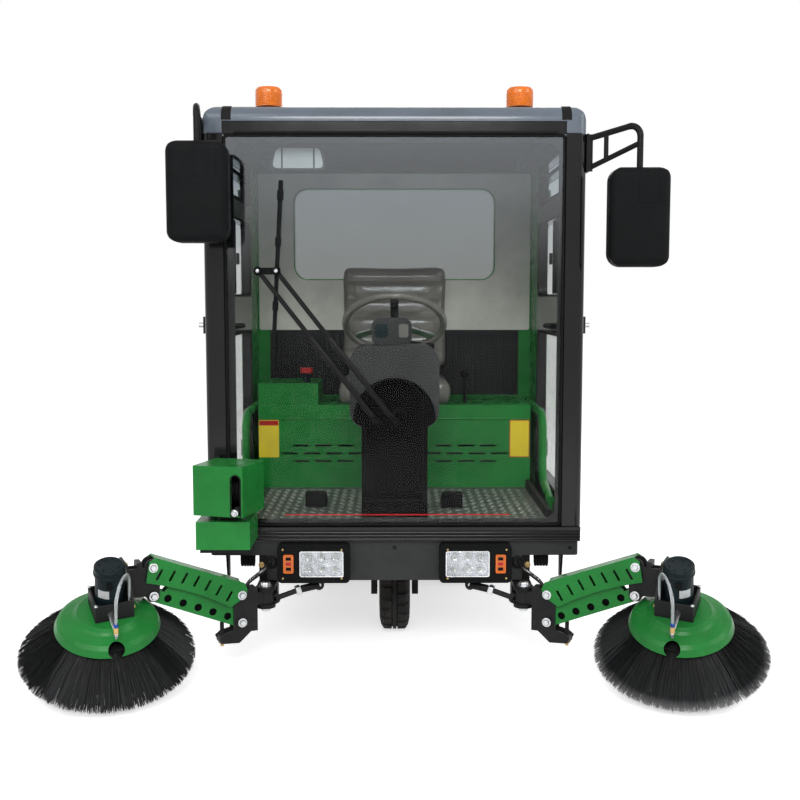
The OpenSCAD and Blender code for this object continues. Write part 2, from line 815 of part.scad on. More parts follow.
// Hose cabinets: a low box on a bracket, and a taller one turned on it with a slot for the hose
module hose_cabinets() color(green) placed() {
    sheet = 5;
    lower = [180, 210, 94];
    lower_x = -cab_half - 1;
    lower_s = -240;
    lower_z = 461;
    bracket_t = 12;
    upper = [178, 182, 168];
    upper_at = [-cab_half + 100, -160];
    upper_yaw = -16;
    neck_r = 40;
    neck_h = 20;
    upper_z = lower_z + lower[2] + neck_h;
    slot_r = 16;
    slot_h = 123;
    slot_edge = 25;
    translate([lower_x, lower_s, lower_z]) cube(lower);
    translate([lower_x + 12, lower_s + 8, lower_z - bracket_t])
        cube([lower[0] - 20, -sill_front - lower_s - 8, bracket_t]);
    translate([upper_at[0], upper_at[1], lower_z + lower[2] - 1]) cylinder(r = neck_r, h = neck_h + 2);
    translate([upper_at[0], upper_at[1], upper_z]) rotate([0, 0, upper_yaw]) difference() {
        translate([-upper[0] / 2, -upper[1] / 2, 0]) cube(upper);
        translate([-upper[0] / 2 + sheet, -upper[1] / 2 + sheet, sheet])
            cube([upper[0] - 2 * sheet, upper[1] - 2 * sheet, upper[2] - 2 * sheet]);
        face_plate(-upper[1] / 2 - 1, sheet + 1) translate([upper[0] / 2 - slot_edge, 0]) {
            translate([0, slot_h]) circle(slot_r);
            translate([-slot_r, -1]) square([2 * slot_r, slot_h + 1]);
        }
    }
}

// Bracket in its own frame: it reaches out along +X from the hinge on the pillar
module mirror_bracket() {
    bend_r = 36;
    slope = 10;
    steep = 2 * slope;
    foot = 50;
    bar_x = mirror_reach / 3;
    run = (mirror_reach - bend_r * (1 + sin(slope))) / cos(slope);
    drop = foot + run * sin(slope) - bend_r * cos(slope) + mirror_drop;
    translate([0, 0, -foot - 12]) cylinder(r = mirror_arm_r, h = 2 * foot + 24);
    translate([0, 0, foot]) rotate([0, 90 - slope, 0])
        bent_tube(mirror_arm_r, [[run, 90 + slope, bend_r, 0], [drop, 0, 0, 0]]);
    translate([0, 0, -foot]) rotate([0, 90 - steep, 0])
        cylinder(r = mirror_arm_r - 2, h = mirror_reach / cos(steep));
    translate([bar_x, 0, bar_x * tan(steep) - foot])
        cylinder(r = mirror_arm_r - 3, h = 2 * foot - bar_x * (tan(steep) - tan(slope)));
}

// Mirror brackets on a plate at each front pillar
module mirror_arms() color(black) placed() {
    plate = [8, 50, 130];
    for (m = mirrors) mirror([m[0] < 0 ? 1 : 0, 0, 0]) {
        translate([cab_half, -8, m[2] - plate[2] / 2]) cube(plate);
        translate([cab_half + mirror_arm_r, 0, m[2]]) rotate([0, 0, -m[1]]) mirror_bracket();
    }
}

// Section of a mirror head, round in front and square behind
module mirror_section(w, thick) {
    soft_r = 28;
    translate([-w / 2 + soft_r, -thick / 2]) square([w - 2 * soft_r, thick]);
    translate([-w / 2, -thick / 2 + soft_r]) square([w, thick - soft_r]);
    for (k = [-1, 1]) translate([k * (w / 2 - soft_r), -thick / 2 + soft_r]) circle(soft_r);
}

// Head with a socket for the bracket's end, which comes down to the given height over its centre
module mirror_head(stem_end) {
    thick = 70;
    difference() {
        intersection() {
            face_plate(-thick / 2, thick) rounded(mirror_w, mirror_h, 46);
            translate([0, 0, -mirror_h / 2]) linear_extrude(mirror_h) mirror_section(mirror_w, thick);
            side_plate(-mirror_w / 2, mirror_w) mirror([1, 0]) rotate(90) mirror_section(mirror_h, thick);
        }
        translate([0, 0, stem_end]) cylinder(r = mirror_arm_r + fit, h = mirror_h);
    }
}

module mirror_heads() color([0.13, 0.13, 0.14]) placed() {
    for (m = mirrors) translate([m[0] * (cab_half + mirror_arm_r + mirror_reach * cos(m[1])),
        -mirror_reach * sin(m[1]), m[3]]) mirror_head(m[2] - mirror_drop - m[3]);
}

// Hopper behind the cab

module skirt_outline() {
    arch_gap = 40;
    arch_post = 28;
    arch_r = min(tyre_r + arch_gap, rear_axle_s - hopper_front - arch_post);
    difference() {
        union() {
            translate([skirt_front, skirt_z]) square([rear_end - skirt_front, hopper_bottom - 46 - skirt_z]);
            translate([hopper_front, skirt_z])
                square([rear_end - hopper_front, hopper_bottom + 70 - skirt_z]);
        }
        translate([rear_axle_s, tyre_r]) circle(arch_r);
    }
}

module rear_body() color(green) placed() {
    depth = rear_end - hopper_front;
    tall = hopper_top - hopper_bottom;
    edge_r = 40;
    inner_r = 28;
    skirt_t = 14;
    louvre_lean = 30;
    louvre_end = 20;
    difference() {
        translate([0, rear_end, hopper_bottom + tall / 2]) rotate([90, 0, 0]) linear_extrude(depth)
            rounded(2 * hopper_half, tall, edge_r);
        translate([0, rear_end + 1, hopper_bottom + tall / 2]) rotate([90, 0, 0])
            linear_extrude(depth - hopper_wall + 1)
                rounded(2 * (hopper_half - hopper_wall), tall - 2 * hopper_wall, inner_r);
        both_sides() side_plate(hopper_half - louvre_d, louvre_d + 1) translate(louvre_at)
            rounded(louvre_panel[0], louvre_panel[1], 20);
    }
    both_sides() {
        for (i = [0 : louvres - 1]) translate([hopper_half - louvre_d - 1, louvre_at[0], louvre_at[1]
                + (i - (louvres - 1) / 2) * louvre_pitch]) rotate([0, louvre_lean, 0])
            translate([0, -louvre_panel[0] / 2 + louvre_end, -louvre_t / 2])
                cube([louvre_d, louvre_panel[0] - 2 * louvre_end, louvre_t]);
        side_plate(hopper_half - skirt_t, skirt_t) skirt_outline();
        hopper_knuckles();
    }
}

module hopper_knuckles() {
    leaf_t = 16;
    translate([hopper_hinge_x, hopper_hinge_s, hopper_hinge_z]) rotate([0, 90, 0]) {
        cylinder(r = hopper_hinge_r, h = hopper_hinge_w);
        translate([0, 0, -hopper_hinge_w]) cylinder(r = hopper_pin_r, h = hopper_hinge_w + 1);
    }
    translate([hopper_hinge_x, rear_end - 1, hopper_hinge_z - leaf_t / 2])
        cube([hopper_hinge_w, hopper_hinge_s - rear_end + 1, leaf_t]);
}

module rear_door() color(green) placed() {
    half = hopper_half - 30;
    foot = hopper_bottom + 20;
    head = hopper_hinge_z - 22;
    grip_w = 180;
    grip_out = 18;
    grip_z = foot + 110;
    ear_w = hopper_hinge_w - 4;
    ear_x = hopper_hinge_x - ear_w - 2;
    translate([0, rear_end + run_gap, 0]) {
        face_plate(0, hopper_door_t) translate([0, (head + foot) / 2]) rounded(2 * half, head - foot, 30);
        translate([-grip_w / 2, hopper_door_t + grip_out, grip_z]) rotate([0, 90, 0])
            cylinder(r = 8, h = grip_w);
        for (k = [-1, 1]) translate([k * (grip_w / 2 - 10), hopper_door_t - 1, grip_z]) rotate([-90, 0, 0])
            cylinder(r = 6, h = grip_out + 1);
    }
    both_sides() difference() {
        union() {
            translate([ear_x, hopper_hinge_s, hopper_hinge_z]) rotate([0, 90, 0])
                cylinder(r = hopper_hinge_r, h = ear_w);
            translate([ear_x, rear_end + run_gap, head - 20])
                cube([ear_w, hopper_door_t, hopper_hinge_z - head + 20]);
        }
        translate([ear_x - 20, hopper_hinge_s, hopper_hinge_z]) rotate([0, 90, 0])
            cylinder(r = hopper_pin_r + fit, h = ear_w + 40);
    }
}

module tail_lamps() color([0.65, 0.08, 0.07]) placed() {
    both_sides() translate([hopper_half - 22, rear_end, 620]) cube([20, 26, 150]);
}

// Wheels, axle and steering

module tyre() {
    shoulder = 26;
    rotate([0, 90, 0]) rotate_extrude() difference() {
        translate([(tyre_r + rim_r + fit) / 2, 0]) rounded(tyre_r - rim_r - fit, tyre_w, shoulder);
        translate([0, -tyre_w]) square([rim_r + fit, 2 * tyre_w]);
    }
}

module rim() {
    hub_r = 44;
    disc_t = 16;
    lip = 12;
    vent_at = 68;
    vent_r = 9;
    rim_half = tyre_w / 2 - 14;
    rotate([0, 90, 0]) difference() {
        union() {
            cylinder(r = hub_r, h = 2 * rim_half + 8, center = true);
            cylinder(r = rim_r - 1, h = disc_t, center = true);
            difference() {
                cylinder(r = rim_r, h = 2 * rim_half, center = true);
                cylinder(r = rim_r - lip, h = 2 * rim_half + 2, center = true);
            }
        }
        cylinder(r = wheel_bore, h = tyre_w + 20, center = true);
        for (a = [0 : 72 : 288]) rotate([0, 0, a]) translate([vent_at, 0, 0])
            cylinder(r = vent_r, h = disc_t + 2, center = true);
    }
}

module steering_fork() color(black) placed() {
    leg_w = 80;
    leg_foot = 140;
    crown = [2 * (fork_leg_in + fork_leg_t), 130];
    translate([0, steer_s, crown_bottom]) {
        translate([-crown[0] / 2, -crown[1] / 2, 0]) cube([crown[0], crown[1], crown_t]);
        cylinder(r = stem_r, h = rail_top - crown_bottom - 1);
    }
    both_sides() side_plate(fork_leg_in, fork_leg_t) {
        translate([steer_s - leg_w / 2, tyre_r]) square([leg_w, crown_bottom + 1 - tyre_r]);
        translate([steer_s, tyre_r]) circle(leg_w / 2);
        translate([steer_s - 30, leg_foot]) square([60, tyre_r - leg_foot]);
    }
    translate([-fork_leg_in - 1, steer_s, tyre_r]) rotate([0, 90, 0])
        cylinder(r = axle_r, h = 2 * fork_leg_in + 2);
}

module front_tyre() color(black) placed() translate([0, steer_s, tyre_r]) tyre();
module front_rim() color(zinc) placed() translate([0, steer_s, tyre_r]) rim();
module rear_tyre_left() color(black) placed() translate([rear_track / 2, rear_axle_s, tyre_r]) tyre();
module rear_tyre_right() color(black) placed() translate([-rear_track / 2, rear_axle_s, tyre_r]) tyre();
module rear_rim_left() color(zinc) placed() translate([rear_track / 2, rear_axle_s, tyre_r]) rim();
module rear_rim_right() color(zinc) placed() translate([-rear_track / 2, rear_axle_s, tyre_r]) rim();

module rear_axle() color([0.22, 0.22, 0.23]) placed() {
    tube_r = 36;
    tube_half = rear_track / 2 - tyre_w / 2 - 14;
    hanger = [rail_w - 20, 120];
    translate([0, rear_axle_s, tyre_r]) rotate([0, 90, 0]) {
        cylinder(r = tube_r, h = 2 * tube_half, center = true);
        cylinder(r = axle_r, h = rear_track + tyre_w - 20, center = true);
        cylinder(r = 90, h = 150, center = true);
    }
    both_sides() translate([rail_x - hanger[0] / 2, rear_axle_s - hanger[1] / 2, tyre_r])
        cube([hanger[0], hanger[1], rail_bottom - tyre_r]);
}

// Sweeping roller under the floor

module roller_brush() color(black) placed() translate([0, roller_s, roller_z]) rotate([0, 90, 0]) {
    cylinder(r = roller_r, h = roller_len, center = true);
    cylinder(r = roller_shaft_r, h = 2 * hood_half + 8, center = true);
}

module roller_housing() color(charcoal) placed() {
    hood_in = roller_r + hood_gap;
    foot = 60;
    difference() {
        translate([-hood_half - hood_t, roller_s, roller_z]) rotate([0, 90, 0])
            cylinder(r = hood_in + hood_t, h = 2 * (hood_half + hood_t));
        translate([-hood_half, roller_s, roller_z]) rotate([0, 90, 0])
            cylinder(r = hood_in, h = 2 * hood_half);
        translate([-hood_half - 50, roller_s - hood_in - 50, -200])
            cube([2 * hood_half + 100, 2 * hood_in + 100, 200 + foot]);
        translate([-hood_half - 50, roller_s, roller_z]) rotate([0, 90, 0])
            cylinder(r = roller_shaft_r + fit, h = 2 * hood_half + 100);
    }
    hood_top = roller_z + roller_r + hood_gap;
    both_sides() translate([rail_x - 20, roller_s - 50, hood_top]) cube([40, 100, rail_bottom - hood_top]);
}

// Wiper: two parallel arms carry the blade upright across the windscreen

module wiper_arm(from) {
    eye_r = 14;
    arm_w = 16;
    translate([from[0], wiper_s, from[1]]) rotate([0, -wiper_angle, 0]) difference() {
        union() {
            for (x = [0, wiper_len]) translate([x, 0, 0]) rotate([90, 0, 0])
                cylinder(r = eye_r, h = arm_t, center = true);
            translate([0, -arm_t / 2, -arm_w / 2]) cube([wiper_len, arm_t, arm_w]);
        }
        for (x = [0, wiper_len]) translate([x, 0, 0]) rotate([90, 0, 0])
            cylinder(r = wiper_pin_r + fit, h = arm_t + 2, center = true);
    }
}

module wiper_drive_arm() color(black) placed() wiper_arm(wiper_drive);
module wiper_guide_arm() color(black) placed() wiper_arm(wiper_guide);

module wiper_blade() color(black) placed() {
    blade_w = 14;
    back = -run_gap;
    depth = 10;
    lean = 3;
    below = 20;
    end_lap = 12;
    plate_out = 2;
    lap = 3;
    for (p = [blade_pin, guide_pin]) translate([p[0], back - depth + lap, p[1]]) rotate([90, 0, 0])
        cylinder(r = wiper_pin_r, h = lap - wiper_s - depth + back + arm_t);
    translate([guide_pin[0], 0, guide_pin[1]]) rotate([0, lean, 0])
        translate([-blade_w / 2, back - depth, -blade_len / 2 - below]) cube([blade_w, depth, blade_len]);
    face_plate(back - depth - plate_out, depth - 1) polygon([
        [blade_pin[0] - end_lap, blade_pin[1] - end_lap], [guide_pin[0] + end_lap, guide_pin[1] - end_lap],
        [guide_pin[0] + end_lap, guide_pin[1] + end_lap], [blade_pin[0] - end_lap, blade_pin[1] + end_lap]]);
}

// Side brush arms

module swing_bracket() {
    tube_h = ear_gap - 2;
    tube_z = ear_z + ear_t + 1;
    toe = [[-34, 0], [-34, -37], [8, -73], [70, -69], [80, -49], [62, -35], [cheek_r, -27], [cheek_r, 0]];
    back_x = 58;
    back_t = 24;
    stop_x = 62;
    stop_r = 7;
    stop_drop = 67;
    stop_top = inner_pin_z + (stop_x - stop_r) * tan(arm_lift) - link_below / cos(arm_lift) - 0.5;
    difference() {
        union() {
            at_arm(0) {
                translate([-swing_reach, 0, tube_z]) cylinder(r = swing_tube_r, h = tube_h);
                translate([-swing_reach, -18, tube_z]) cube([swing_reach - 40, 36, tube_h]);
                translate([-back_x, -cheek_out, inner_pin_z - 37]) cube([back_t, 2 * cheek_out, link_gap + 54]);
                cheek_pair() {
                    for (z = [inner_pin_z, upper_pin_z]) translate([0, z]) circle(cheek_r);
                    translate([-36, inner_pin_z - 20]) square([36, link_gap + 37]);
                    translate([-10, inner_pin_z]) square([10 + cheek_r, link_gap]);
                    translate([0, inner_pin_z]) polygon(toe);
                }
                translate([stop_x - 12, -cheek_out, inner_pin_z - stop_drop]) cube([24, 2 * cheek_out, 22]);
                translate([stop_x, 0, inner_pin_z - stop_drop + 10])
                    cylinder(r = stop_r, h = stop_top - inner_pin_z + stop_drop - 10);
                arm_pin(0, inner_pin_z, pin_half);
                arm_pin(0, upper_pin_z, pin_half);
            }
        }
        translate([-swing_x, -swing_front, 0]) cylinder(r = swing_pin_r + fit, h = 600);
    }
}

// Upper link: a folded channel, open below, with a sloped top, an arched lower edge and leaning slots
module upper_link() {
    top_in = 42;
    top_out = 34;
    top_from = 8;
    top_to = link_len + 4;
    web_from = 20;
    fall = (top_in - top_out) / (top_to - top_from);
    far = link_len + 100;
    foot = 54;
    arch = 14;
    arch_r = (link_len * link_len / 4 + arch * arch) / (2 * arch);
    slots = 7;
    slot_from = 42;
    slot_pitch = (link_len - 70) / (slots - 1);
    slot_lean = 8;
    slot_drop = 16;
    at_link(upper_pin_z) difference() {
        arm_plate(-link_out, link_out) difference() {
            polygon([[-16, 2], [-10, 26], [top_from, top_in], [top_to, top_out], [link_len + 20, 14],
                [link_len + 4, -foot], [26, -foot]]);
            translate([link_len / 2, -foot - arch_r + arch]) circle(arch_r, $fn = 180);
        }
        arm_plate(-link_out + link_sheet, link_out - link_sheet)
            polygon([[-100, -100], [far, -100], [far, top_in - link_sheet - fall * (far - top_from)],
                [web_from, top_in - link_sheet - fall * (web_from - top_from)], [web_from, 90], [-100, 90]]);
        for (x = [0, link_len]) translate([x, 0, 0]) rotate([90, 0, 0])
            cylinder(r = pin_r + fit, h = 2 * link_out + 2, center = true);
        for (i = [0 : slots - 1]) {
            side = 2 * i / (slots - 1) - 1;
            translate([slot_from + i * slot_pitch, 0, -slot_drop * side * side]) rotate([0, -slot_lean, 0])
                arm_plate(-link_out - 1, link_out + 1) rounded(9, 40, 4);
        }
    }
}

// Outline of the lower link in (x, z): low at its pins and tall between them
module lower_link_outline(sheet) {
    low = 22 - sheet;
    tall = 54 - sheet;
    low_to = 34 - sheet / 2;
    tall_from = 46 - sheet / 2;
    polygon([[0, -link_below], [link_len, -link_below], [link_len, low], [link_len - low_to, low],
        [link_len - tall_from, tall], [tall_from, tall], [low_to, low], [0, low]]);
}

// Lower link: a narrower channel that reaches up inside the upper one, with a row of holes
module lower_link() {
    web_from = 44;
    side = link_sheet + 1;
    hole_r = 13;
    hole_z = 4;
    hole_from = 53;
    holes = 5;
    hole_pitch = (link_len - 2 * hole_from) / (holes - 1);
    at_link(inner_pin_z) difference() {
        arm_plate(-lower_half, lower_half) {
            for (x = [0, link_len]) translate([x, 0]) circle(link_end_r);
            lower_link_outline(0);
        }
        arm_plate(-lower_half + side, lower_half - side) {
            lower_link_outline(link_sheet);
            translate([-100, -100]) square([link_len + 200, 100]);
            for (x = [-100, link_len - web_from]) translate([x, -1]) square([100 + web_from, 61]);
        }
        for (x = [0, link_len]) translate([x, 0, 0]) rotate([90, 0, 0])
            cylinder(r = pin_r + fit, h = 2 * lower_half + 2, center = true);
        for (i = [0 : holes - 1]) translate([hole_from + i * hole_pitch, 0, hole_z]) rotate([90, 0, 0])
            cylinder(r = hole_r, h = 2 * lower_half + 2, center = true);
    }
}

// Cradle: cheeks on the links' outer pins, an end plate and the motor's box on the cover
module brush_cradle() {
    wall = 6;
    box_h = 62;
    cheek_reach = 86;
    cheek_foot = 58;
    cheek_cut = 12;
    at_arm(link_rise) translate([link_run, 0, 0]) {
        cheek_pair() {
            translate([0, inner_pin_z]) circle(link_end_r);
            translate([0, upper_pin_z]) circle(cheek_r);
            translate([0, inner_pin_z]) polygon([[-link_end_r, 0], [cheek_foot, 0], [cheek_reach, cheek_cut],
                [cheek_reach, link_gap], [-cheek_r, link_gap]]);
        }
        translate([34, -cheek_out, inner_pin_z]) cube([16, 2 * cheek_out, link_gap + 20]);
        arm_pin(0, inner_pin_z, pin_half);
        arm_pin(0, upper_pin_z, pin_half);
    }
    at_brush() {
        side_plate(-plate_in - plate_t, plate_t)
            polygon([[-124, cover_top_h + 8], [-124, 296], [-40, 322], [-20, 318],
                [cradle_half, cover_top_h + box_h], [cradle_half, cover_top_h], [-96, cover_top_h]]);
        difference() {
            translate([-plate_in - 1, -cradle_half, cover_top_h])
                cube([2 * cradle_half + 1, 2 * cradle_half, box_h]);
            translate([-plate_in - 2, -cradle_half + wall, motor_base_h])
                cube([2 * cradle_half + 2 - wall, 2 * cradle_half - 2 * wall, box_h]);
            translate([0, 0, cover_top_h - 1]) cylinder(r = brush_shaft_r + fit, h = 10);
        }
    }
}

module brush_motor() {
    cap = 26;
    cap_lip = 3;
    at_brush() translate([motor_x, 0, motor_base_h]) {
        cylinder(r = motor_r, h = motor_len - cap);
        translate([0, 0, motor_len - cap]) cylinder(r = motor_r + cap_lip, h = cap);
    }
}

// Pressed cover over the bristles' roots, with a hole under the spray nozzle
module brush_cover() {
    sheet = 3;
    hole_r = 26;
    hole_lean = 62;
    outer = [[cover_r, 0], [cover_r - 9, 22], [cover_r - 22, 32], [112, 43], [104, 50], [96, 60]];
    inner = [[93, 57], [101, 47], [110, 40], [cover_r - 25, 29], [cover_r - 12, 20], [cover_r - sheet, 0]];
    at_brush() translate([0, 0, cover_rim_h]) difference() {
        union() {
            rotate_extrude() polygon(concat(outer, inner));
            translate([0, 0, 60 - sheet]) cylinder(r = 95, h = sheet);
        }
        rotate([0, 0, spray_angle]) translate([cover_r - 10, 0, 20]) rotate([0, hole_lean, 0])
            cylinder(r = hole_r, h = 60, center = true);
        translate([0, 0, 40]) cylinder(r = brush_shaft_r + 2, h = 40);
    }
}

// Spray hose out of the cradle, over beside the motor and down to its nozzle over the cover's hole
module spray_hose() {
    start = [-60, 42];
    start_h = cover_top_h + 44;
    rise = 82;
    fall = 80;
    bend_r = 58;
    tab = [10, 16, 20];
    across = nozzle_spot - start;
    nozzle_h = start_h + rise - fall;
    arm_h = nozzle_h - 12;
    wall = [nozzle_spot[0] - 9, cradle_half];
    at_brush() {
        translate([-plate_in, start[1] - tab[1] / 2, start_h - tab[2]]) cube(tab);
        translate([start[0], start[1], start_h - 1]) bent_tube(hose_r,
            [[rise + 1, 90, bend_r, atan2(across[1], across[0])],
            [norm(across) - 2 * bend_r, 90, bend_r, 0], [fall, 0, 0, 0]]);
        translate([nozzle_spot[0], nozzle_spot[1], nozzle_h - 46]) {
            cylinder(r = 5, h = 10);
            translate([0, 0, 8]) cylinder(r = 9, h = 14, $fn = 6);
            translate([0, 0, 20]) cylinder(r = 8, h = 28);
        }
        translate([wall[0], wall[1], arm_h]) cube([18, nozzle_spot[1] - wall[1], 4]);
        translate([wall[0], wall[1], arm_h - 24]) cube([10, 4, 26]);
    }
}

// Bristles flare from a hub plate under the cover out to the tip circle
module side_brush() {
    hub_h = cover_rim_h + 20;
    at_brush() {
        rotate_extrude() polygon([[60, hub_h], [118, hub_h], [cover_r - 16, cover_rim_h - 8], [tip_r, 0],
            [tip_r - 66, 0], [60, hub_h - 26]]);
        translate([0, 0, hub_h - 26]) cylinder(r = 62, h = 26);
        translate([0, 0, hub_h - 1]) cylinder(r = brush_shaft_r, h = motor_base_h - fit - hub_h + 1);
    }
}

module swing_bracket_right() color(charcoal) placed() swing_bracket();
module swing_bracket_left() color(charcoal) placed() on_left() swing_bracket();
module upper_link_right() color(green) placed() upper_link();
module upper_link_left() color(green) placed() on_left() upper_link();
module lower_link_right() color(green) placed() lower_link();
module lower_link_left() color(green) placed() on_left() lower_link();
module brush_cradle_right() color(charcoal) placed() brush_cradle();
module brush_cradle_left() color(charcoal) placed() on_left() brush_cradle();
module brush_motor_right() color([0.20, 0.24, 0.26]) placed() brush_motor();
module brush_motor_left() color([0.20, 0.24, 0.26]) placed() on_left() brush_motor();
module brush_cover_right() color(green) placed() brush_cover();
module brush_cover_left() color(green) placed() on_left() brush_cover();
module spray_hose_right() color(zinc) placed() spray_hose();
module spray_hose_left() color(zinc) placed() on_left() spray_hose();
module side_brush_right() color(black) placed() side_brush();
module side_brush_left() color(black) placed() on_left() side_brush();

chassis();
floor_pan();
front_panel();
headlamps();
amber_lamps();
cab_sill();
front_pillars();
roof();
cab_glass();
cab_rear_wall();
seat_box();
battery_pack();
seat_cushion();
seat_backrest();
steering_console();
controls();
hose_cabinets();
mirror_arms();
mirror_heads();
rear_body();
tail_lamps();
rear_axle();
roller_housing();
grab_rails();
steering_fork();
front_tyre();
front_rim();
rear_tyre_left();
rear_tyre_right();
rear_rim_left();
rear_rim_right();
steering_wheel();
door_left();
door_right();
door_glass_left();
door_glass_right();
rear_door();
roller_brush();
wiper_drive_arm();
wiper_guide_arm();
wiper_blade();
swing_bracket_left();
swing_bracket_right();
upper_link_left();
upper_link_right();
lower_link_left();
lower_link_right();
brush_cradle_left();
brush_cradle_right();
brush_motor_left();
brush_motor_right();
brush_cover_left();
brush_cover_right();
spray_hose_left();
spray_hose_right();
side_brush_left();
side_brush_right();
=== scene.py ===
"""Street sweeper: finishes, bristles, glass trim, lamps, hoses and seat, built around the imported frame."""
import math
import random

import bmesh
import bpy
from mathutils import Euler, Matrix, Vector


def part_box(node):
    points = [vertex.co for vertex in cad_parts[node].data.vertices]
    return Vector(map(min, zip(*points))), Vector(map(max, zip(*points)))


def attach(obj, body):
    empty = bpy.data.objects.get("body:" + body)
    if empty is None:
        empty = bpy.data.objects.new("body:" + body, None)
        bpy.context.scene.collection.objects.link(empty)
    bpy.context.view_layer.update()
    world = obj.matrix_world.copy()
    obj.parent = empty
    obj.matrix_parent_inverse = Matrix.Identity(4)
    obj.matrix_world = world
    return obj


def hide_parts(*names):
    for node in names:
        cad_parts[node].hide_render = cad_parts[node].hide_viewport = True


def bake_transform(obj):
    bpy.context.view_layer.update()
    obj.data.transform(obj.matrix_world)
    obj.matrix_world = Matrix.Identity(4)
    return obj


bl_info = {
    "name": "Street sweeper looks",
    "version": (1, 0, 0),
    "blender": (4, 5, 0),
    "location": "3D View > Sidebar > Sweeper",
    "description": "Builds the finishes and fittings of a small closed-cab street sweeper",
    "category": "Object",
}

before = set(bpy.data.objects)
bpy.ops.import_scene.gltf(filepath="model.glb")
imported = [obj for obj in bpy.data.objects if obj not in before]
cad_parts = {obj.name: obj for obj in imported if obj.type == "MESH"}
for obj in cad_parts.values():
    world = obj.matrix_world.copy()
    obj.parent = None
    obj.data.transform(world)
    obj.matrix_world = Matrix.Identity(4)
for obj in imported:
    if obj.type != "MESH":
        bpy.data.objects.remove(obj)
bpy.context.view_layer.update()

# Places of the machine, in metres; s counts back from the windscreen's outer face
SCREEN_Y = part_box("cab_glass")[0].y
ROOF_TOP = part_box("roof")[1].z
ROOF_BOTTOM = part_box("roof")[0].z
CAB_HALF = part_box("roof")[1].x
SILL_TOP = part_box("cab_sill")[1].z
TYRE_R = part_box("front_tyre")[1].z / 2
TYRE_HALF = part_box("front_tyre")[1].x
ARM_YAW = math.radians(25.5)
ARM_LIFT = math.radians(23)
BRUSH_TILT = math.radians(22)
HEAD_LEAN = math.radians(3.5)
INNER_PIN = (0.537551, -0.119760)
LINK_LEN = 0.328
PIN_HEIGHTS = (0.187, 0.283)
BRUSH_SPOT = (0.949, -0.290, 0.119869)
SIDES = (("right", 1), ("left", -1))


def at(x, s, z):
    """A point x across, s behind the windscreen and z up."""
    return Vector((x, SCREEN_Y + s, z))


def mirrored(k):
    """Keeps the right-hand side for 1, and mirrors it to the left for -1."""
    return Matrix.Diagonal((k, 1, 1, 1))


def moved(place):
    """Shifts a shape to a place."""
    return Matrix.Translation(place)


def turned(degrees, axis):
    """Turns a shape about an axis."""
    return Matrix.Rotation(math.radians(degrees), 4, axis)


def polar(r, a):
    """The point of a plane at radius r and angle a."""
    return r * math.cos(a), r * math.sin(a)


def arm_place(k):
    """Frame of a brush arm at its inner pins: X runs out along the arm, Y faces forward."""
    turn = Matrix.Rotation(math.pi + ARM_YAW, 4, "Z")
    return mirrored(k) @ moved(at(-INNER_PIN[0], INNER_PIN[1], 0)) @ turn


def brush_place(k):
    """Frame of a side brush: Z runs up its axis from the tip circle."""
    turn = Euler((-BRUSH_TILT, HEAD_LEAN, math.pi + ARM_YAW), "XYZ").to_matrix().to_4x4()
    return mirrored(k) @ moved(at(-BRUSH_SPOT[0], BRUSH_SPOT[1], BRUSH_SPOT[2])) @ turn


def column_place():
    """Frame of the steering wheel: Z runs up the column towards the driver."""
    rake = math.radians(35)
    return facing(at(0, 0.450, 1.195), (0, math.sin(rake), math.cos(rake)), (0, 1, 0))


def facing(place, forward, up=(0, 0, 1)):
    """A frame at a point whose Z looks along forward and whose Y leans to up."""
    z = Vector(forward).normalized()
    x = Vector(up).cross(z).normalized()
    y = z.cross(x)
    turn = Matrix((x, y, z)).transposed().to_4x4()
    return moved(place) @ turn


def front(x, s, z):
    """A frame at a point x across, s behind the windscreen and z up that looks forward."""
    return facing(at(x, s, z), (0, -1, 0))


# Settings that a user would change


def colour_setting(name, description, default):
    """A colour that a user may change."""
    return bpy.props.FloatVectorProperty(
        name=name, description=description, subtype="COLOR", size=3, min=0, max=1, default=default)


class SweeperColours(bpy.types.PropertyGroup):
    """Paint and plastic colours, in linear values."""

    green: colour_setting("Green", "Body paint", (0.015, 0.200, 0.035))
    charcoal: colour_setting("Charcoal", "Front panel", (0.035, 0.037, 0.037))
    black: colour_setting("Black", "Frame and door paint", (0.006, 0.006, 0.0065))
    motor: colour_setting("Motor", "Brush motors", (0.006, 0.014, 0.017))
    amber: colour_setting("Amber", "Beacons and indicators", (0.85, 0.20, 0.008))
    stripe: colour_setting("Stripe", "Thin line on the windscreen", (0.50, 0.02, 0.02))


class SweeperBristles(bpy.types.PropertyGroup):
    """How the side brushes and the roller are filled."""

    tufts: bpy.props.IntProperty(
        name="Tufts", description="Tufts in each ring of a side brush", default=54, min=20, max=90)
    filaments: bpy.props.IntProperty(
        name="Filaments", description="Filaments in a tuft", default=60, min=6, max=80)
    thickness: bpy.props.FloatProperty(
        name="Thickness", description="Radius of a filament", default=0.0009, min=0.0004, max=0.003,
        unit="LENGTH")
    roller_rows: bpy.props.IntProperty(
        name="Roller rows", description="Helical rows of tufts on the roller", default=9, min=4, max=16)


class SweeperTread(bpy.types.PropertyGroup):
    """Lugs of the tyres."""

    lugs: bpy.props.IntProperty(
        name="Lugs", description="Lugs round each shoulder", default=26, min=12, max=36)
    depth: bpy.props.FloatProperty(
        name="Depth", description="Depth of the grooves", default=0.009, min=0.003, max=0.015, unit="LENGTH")


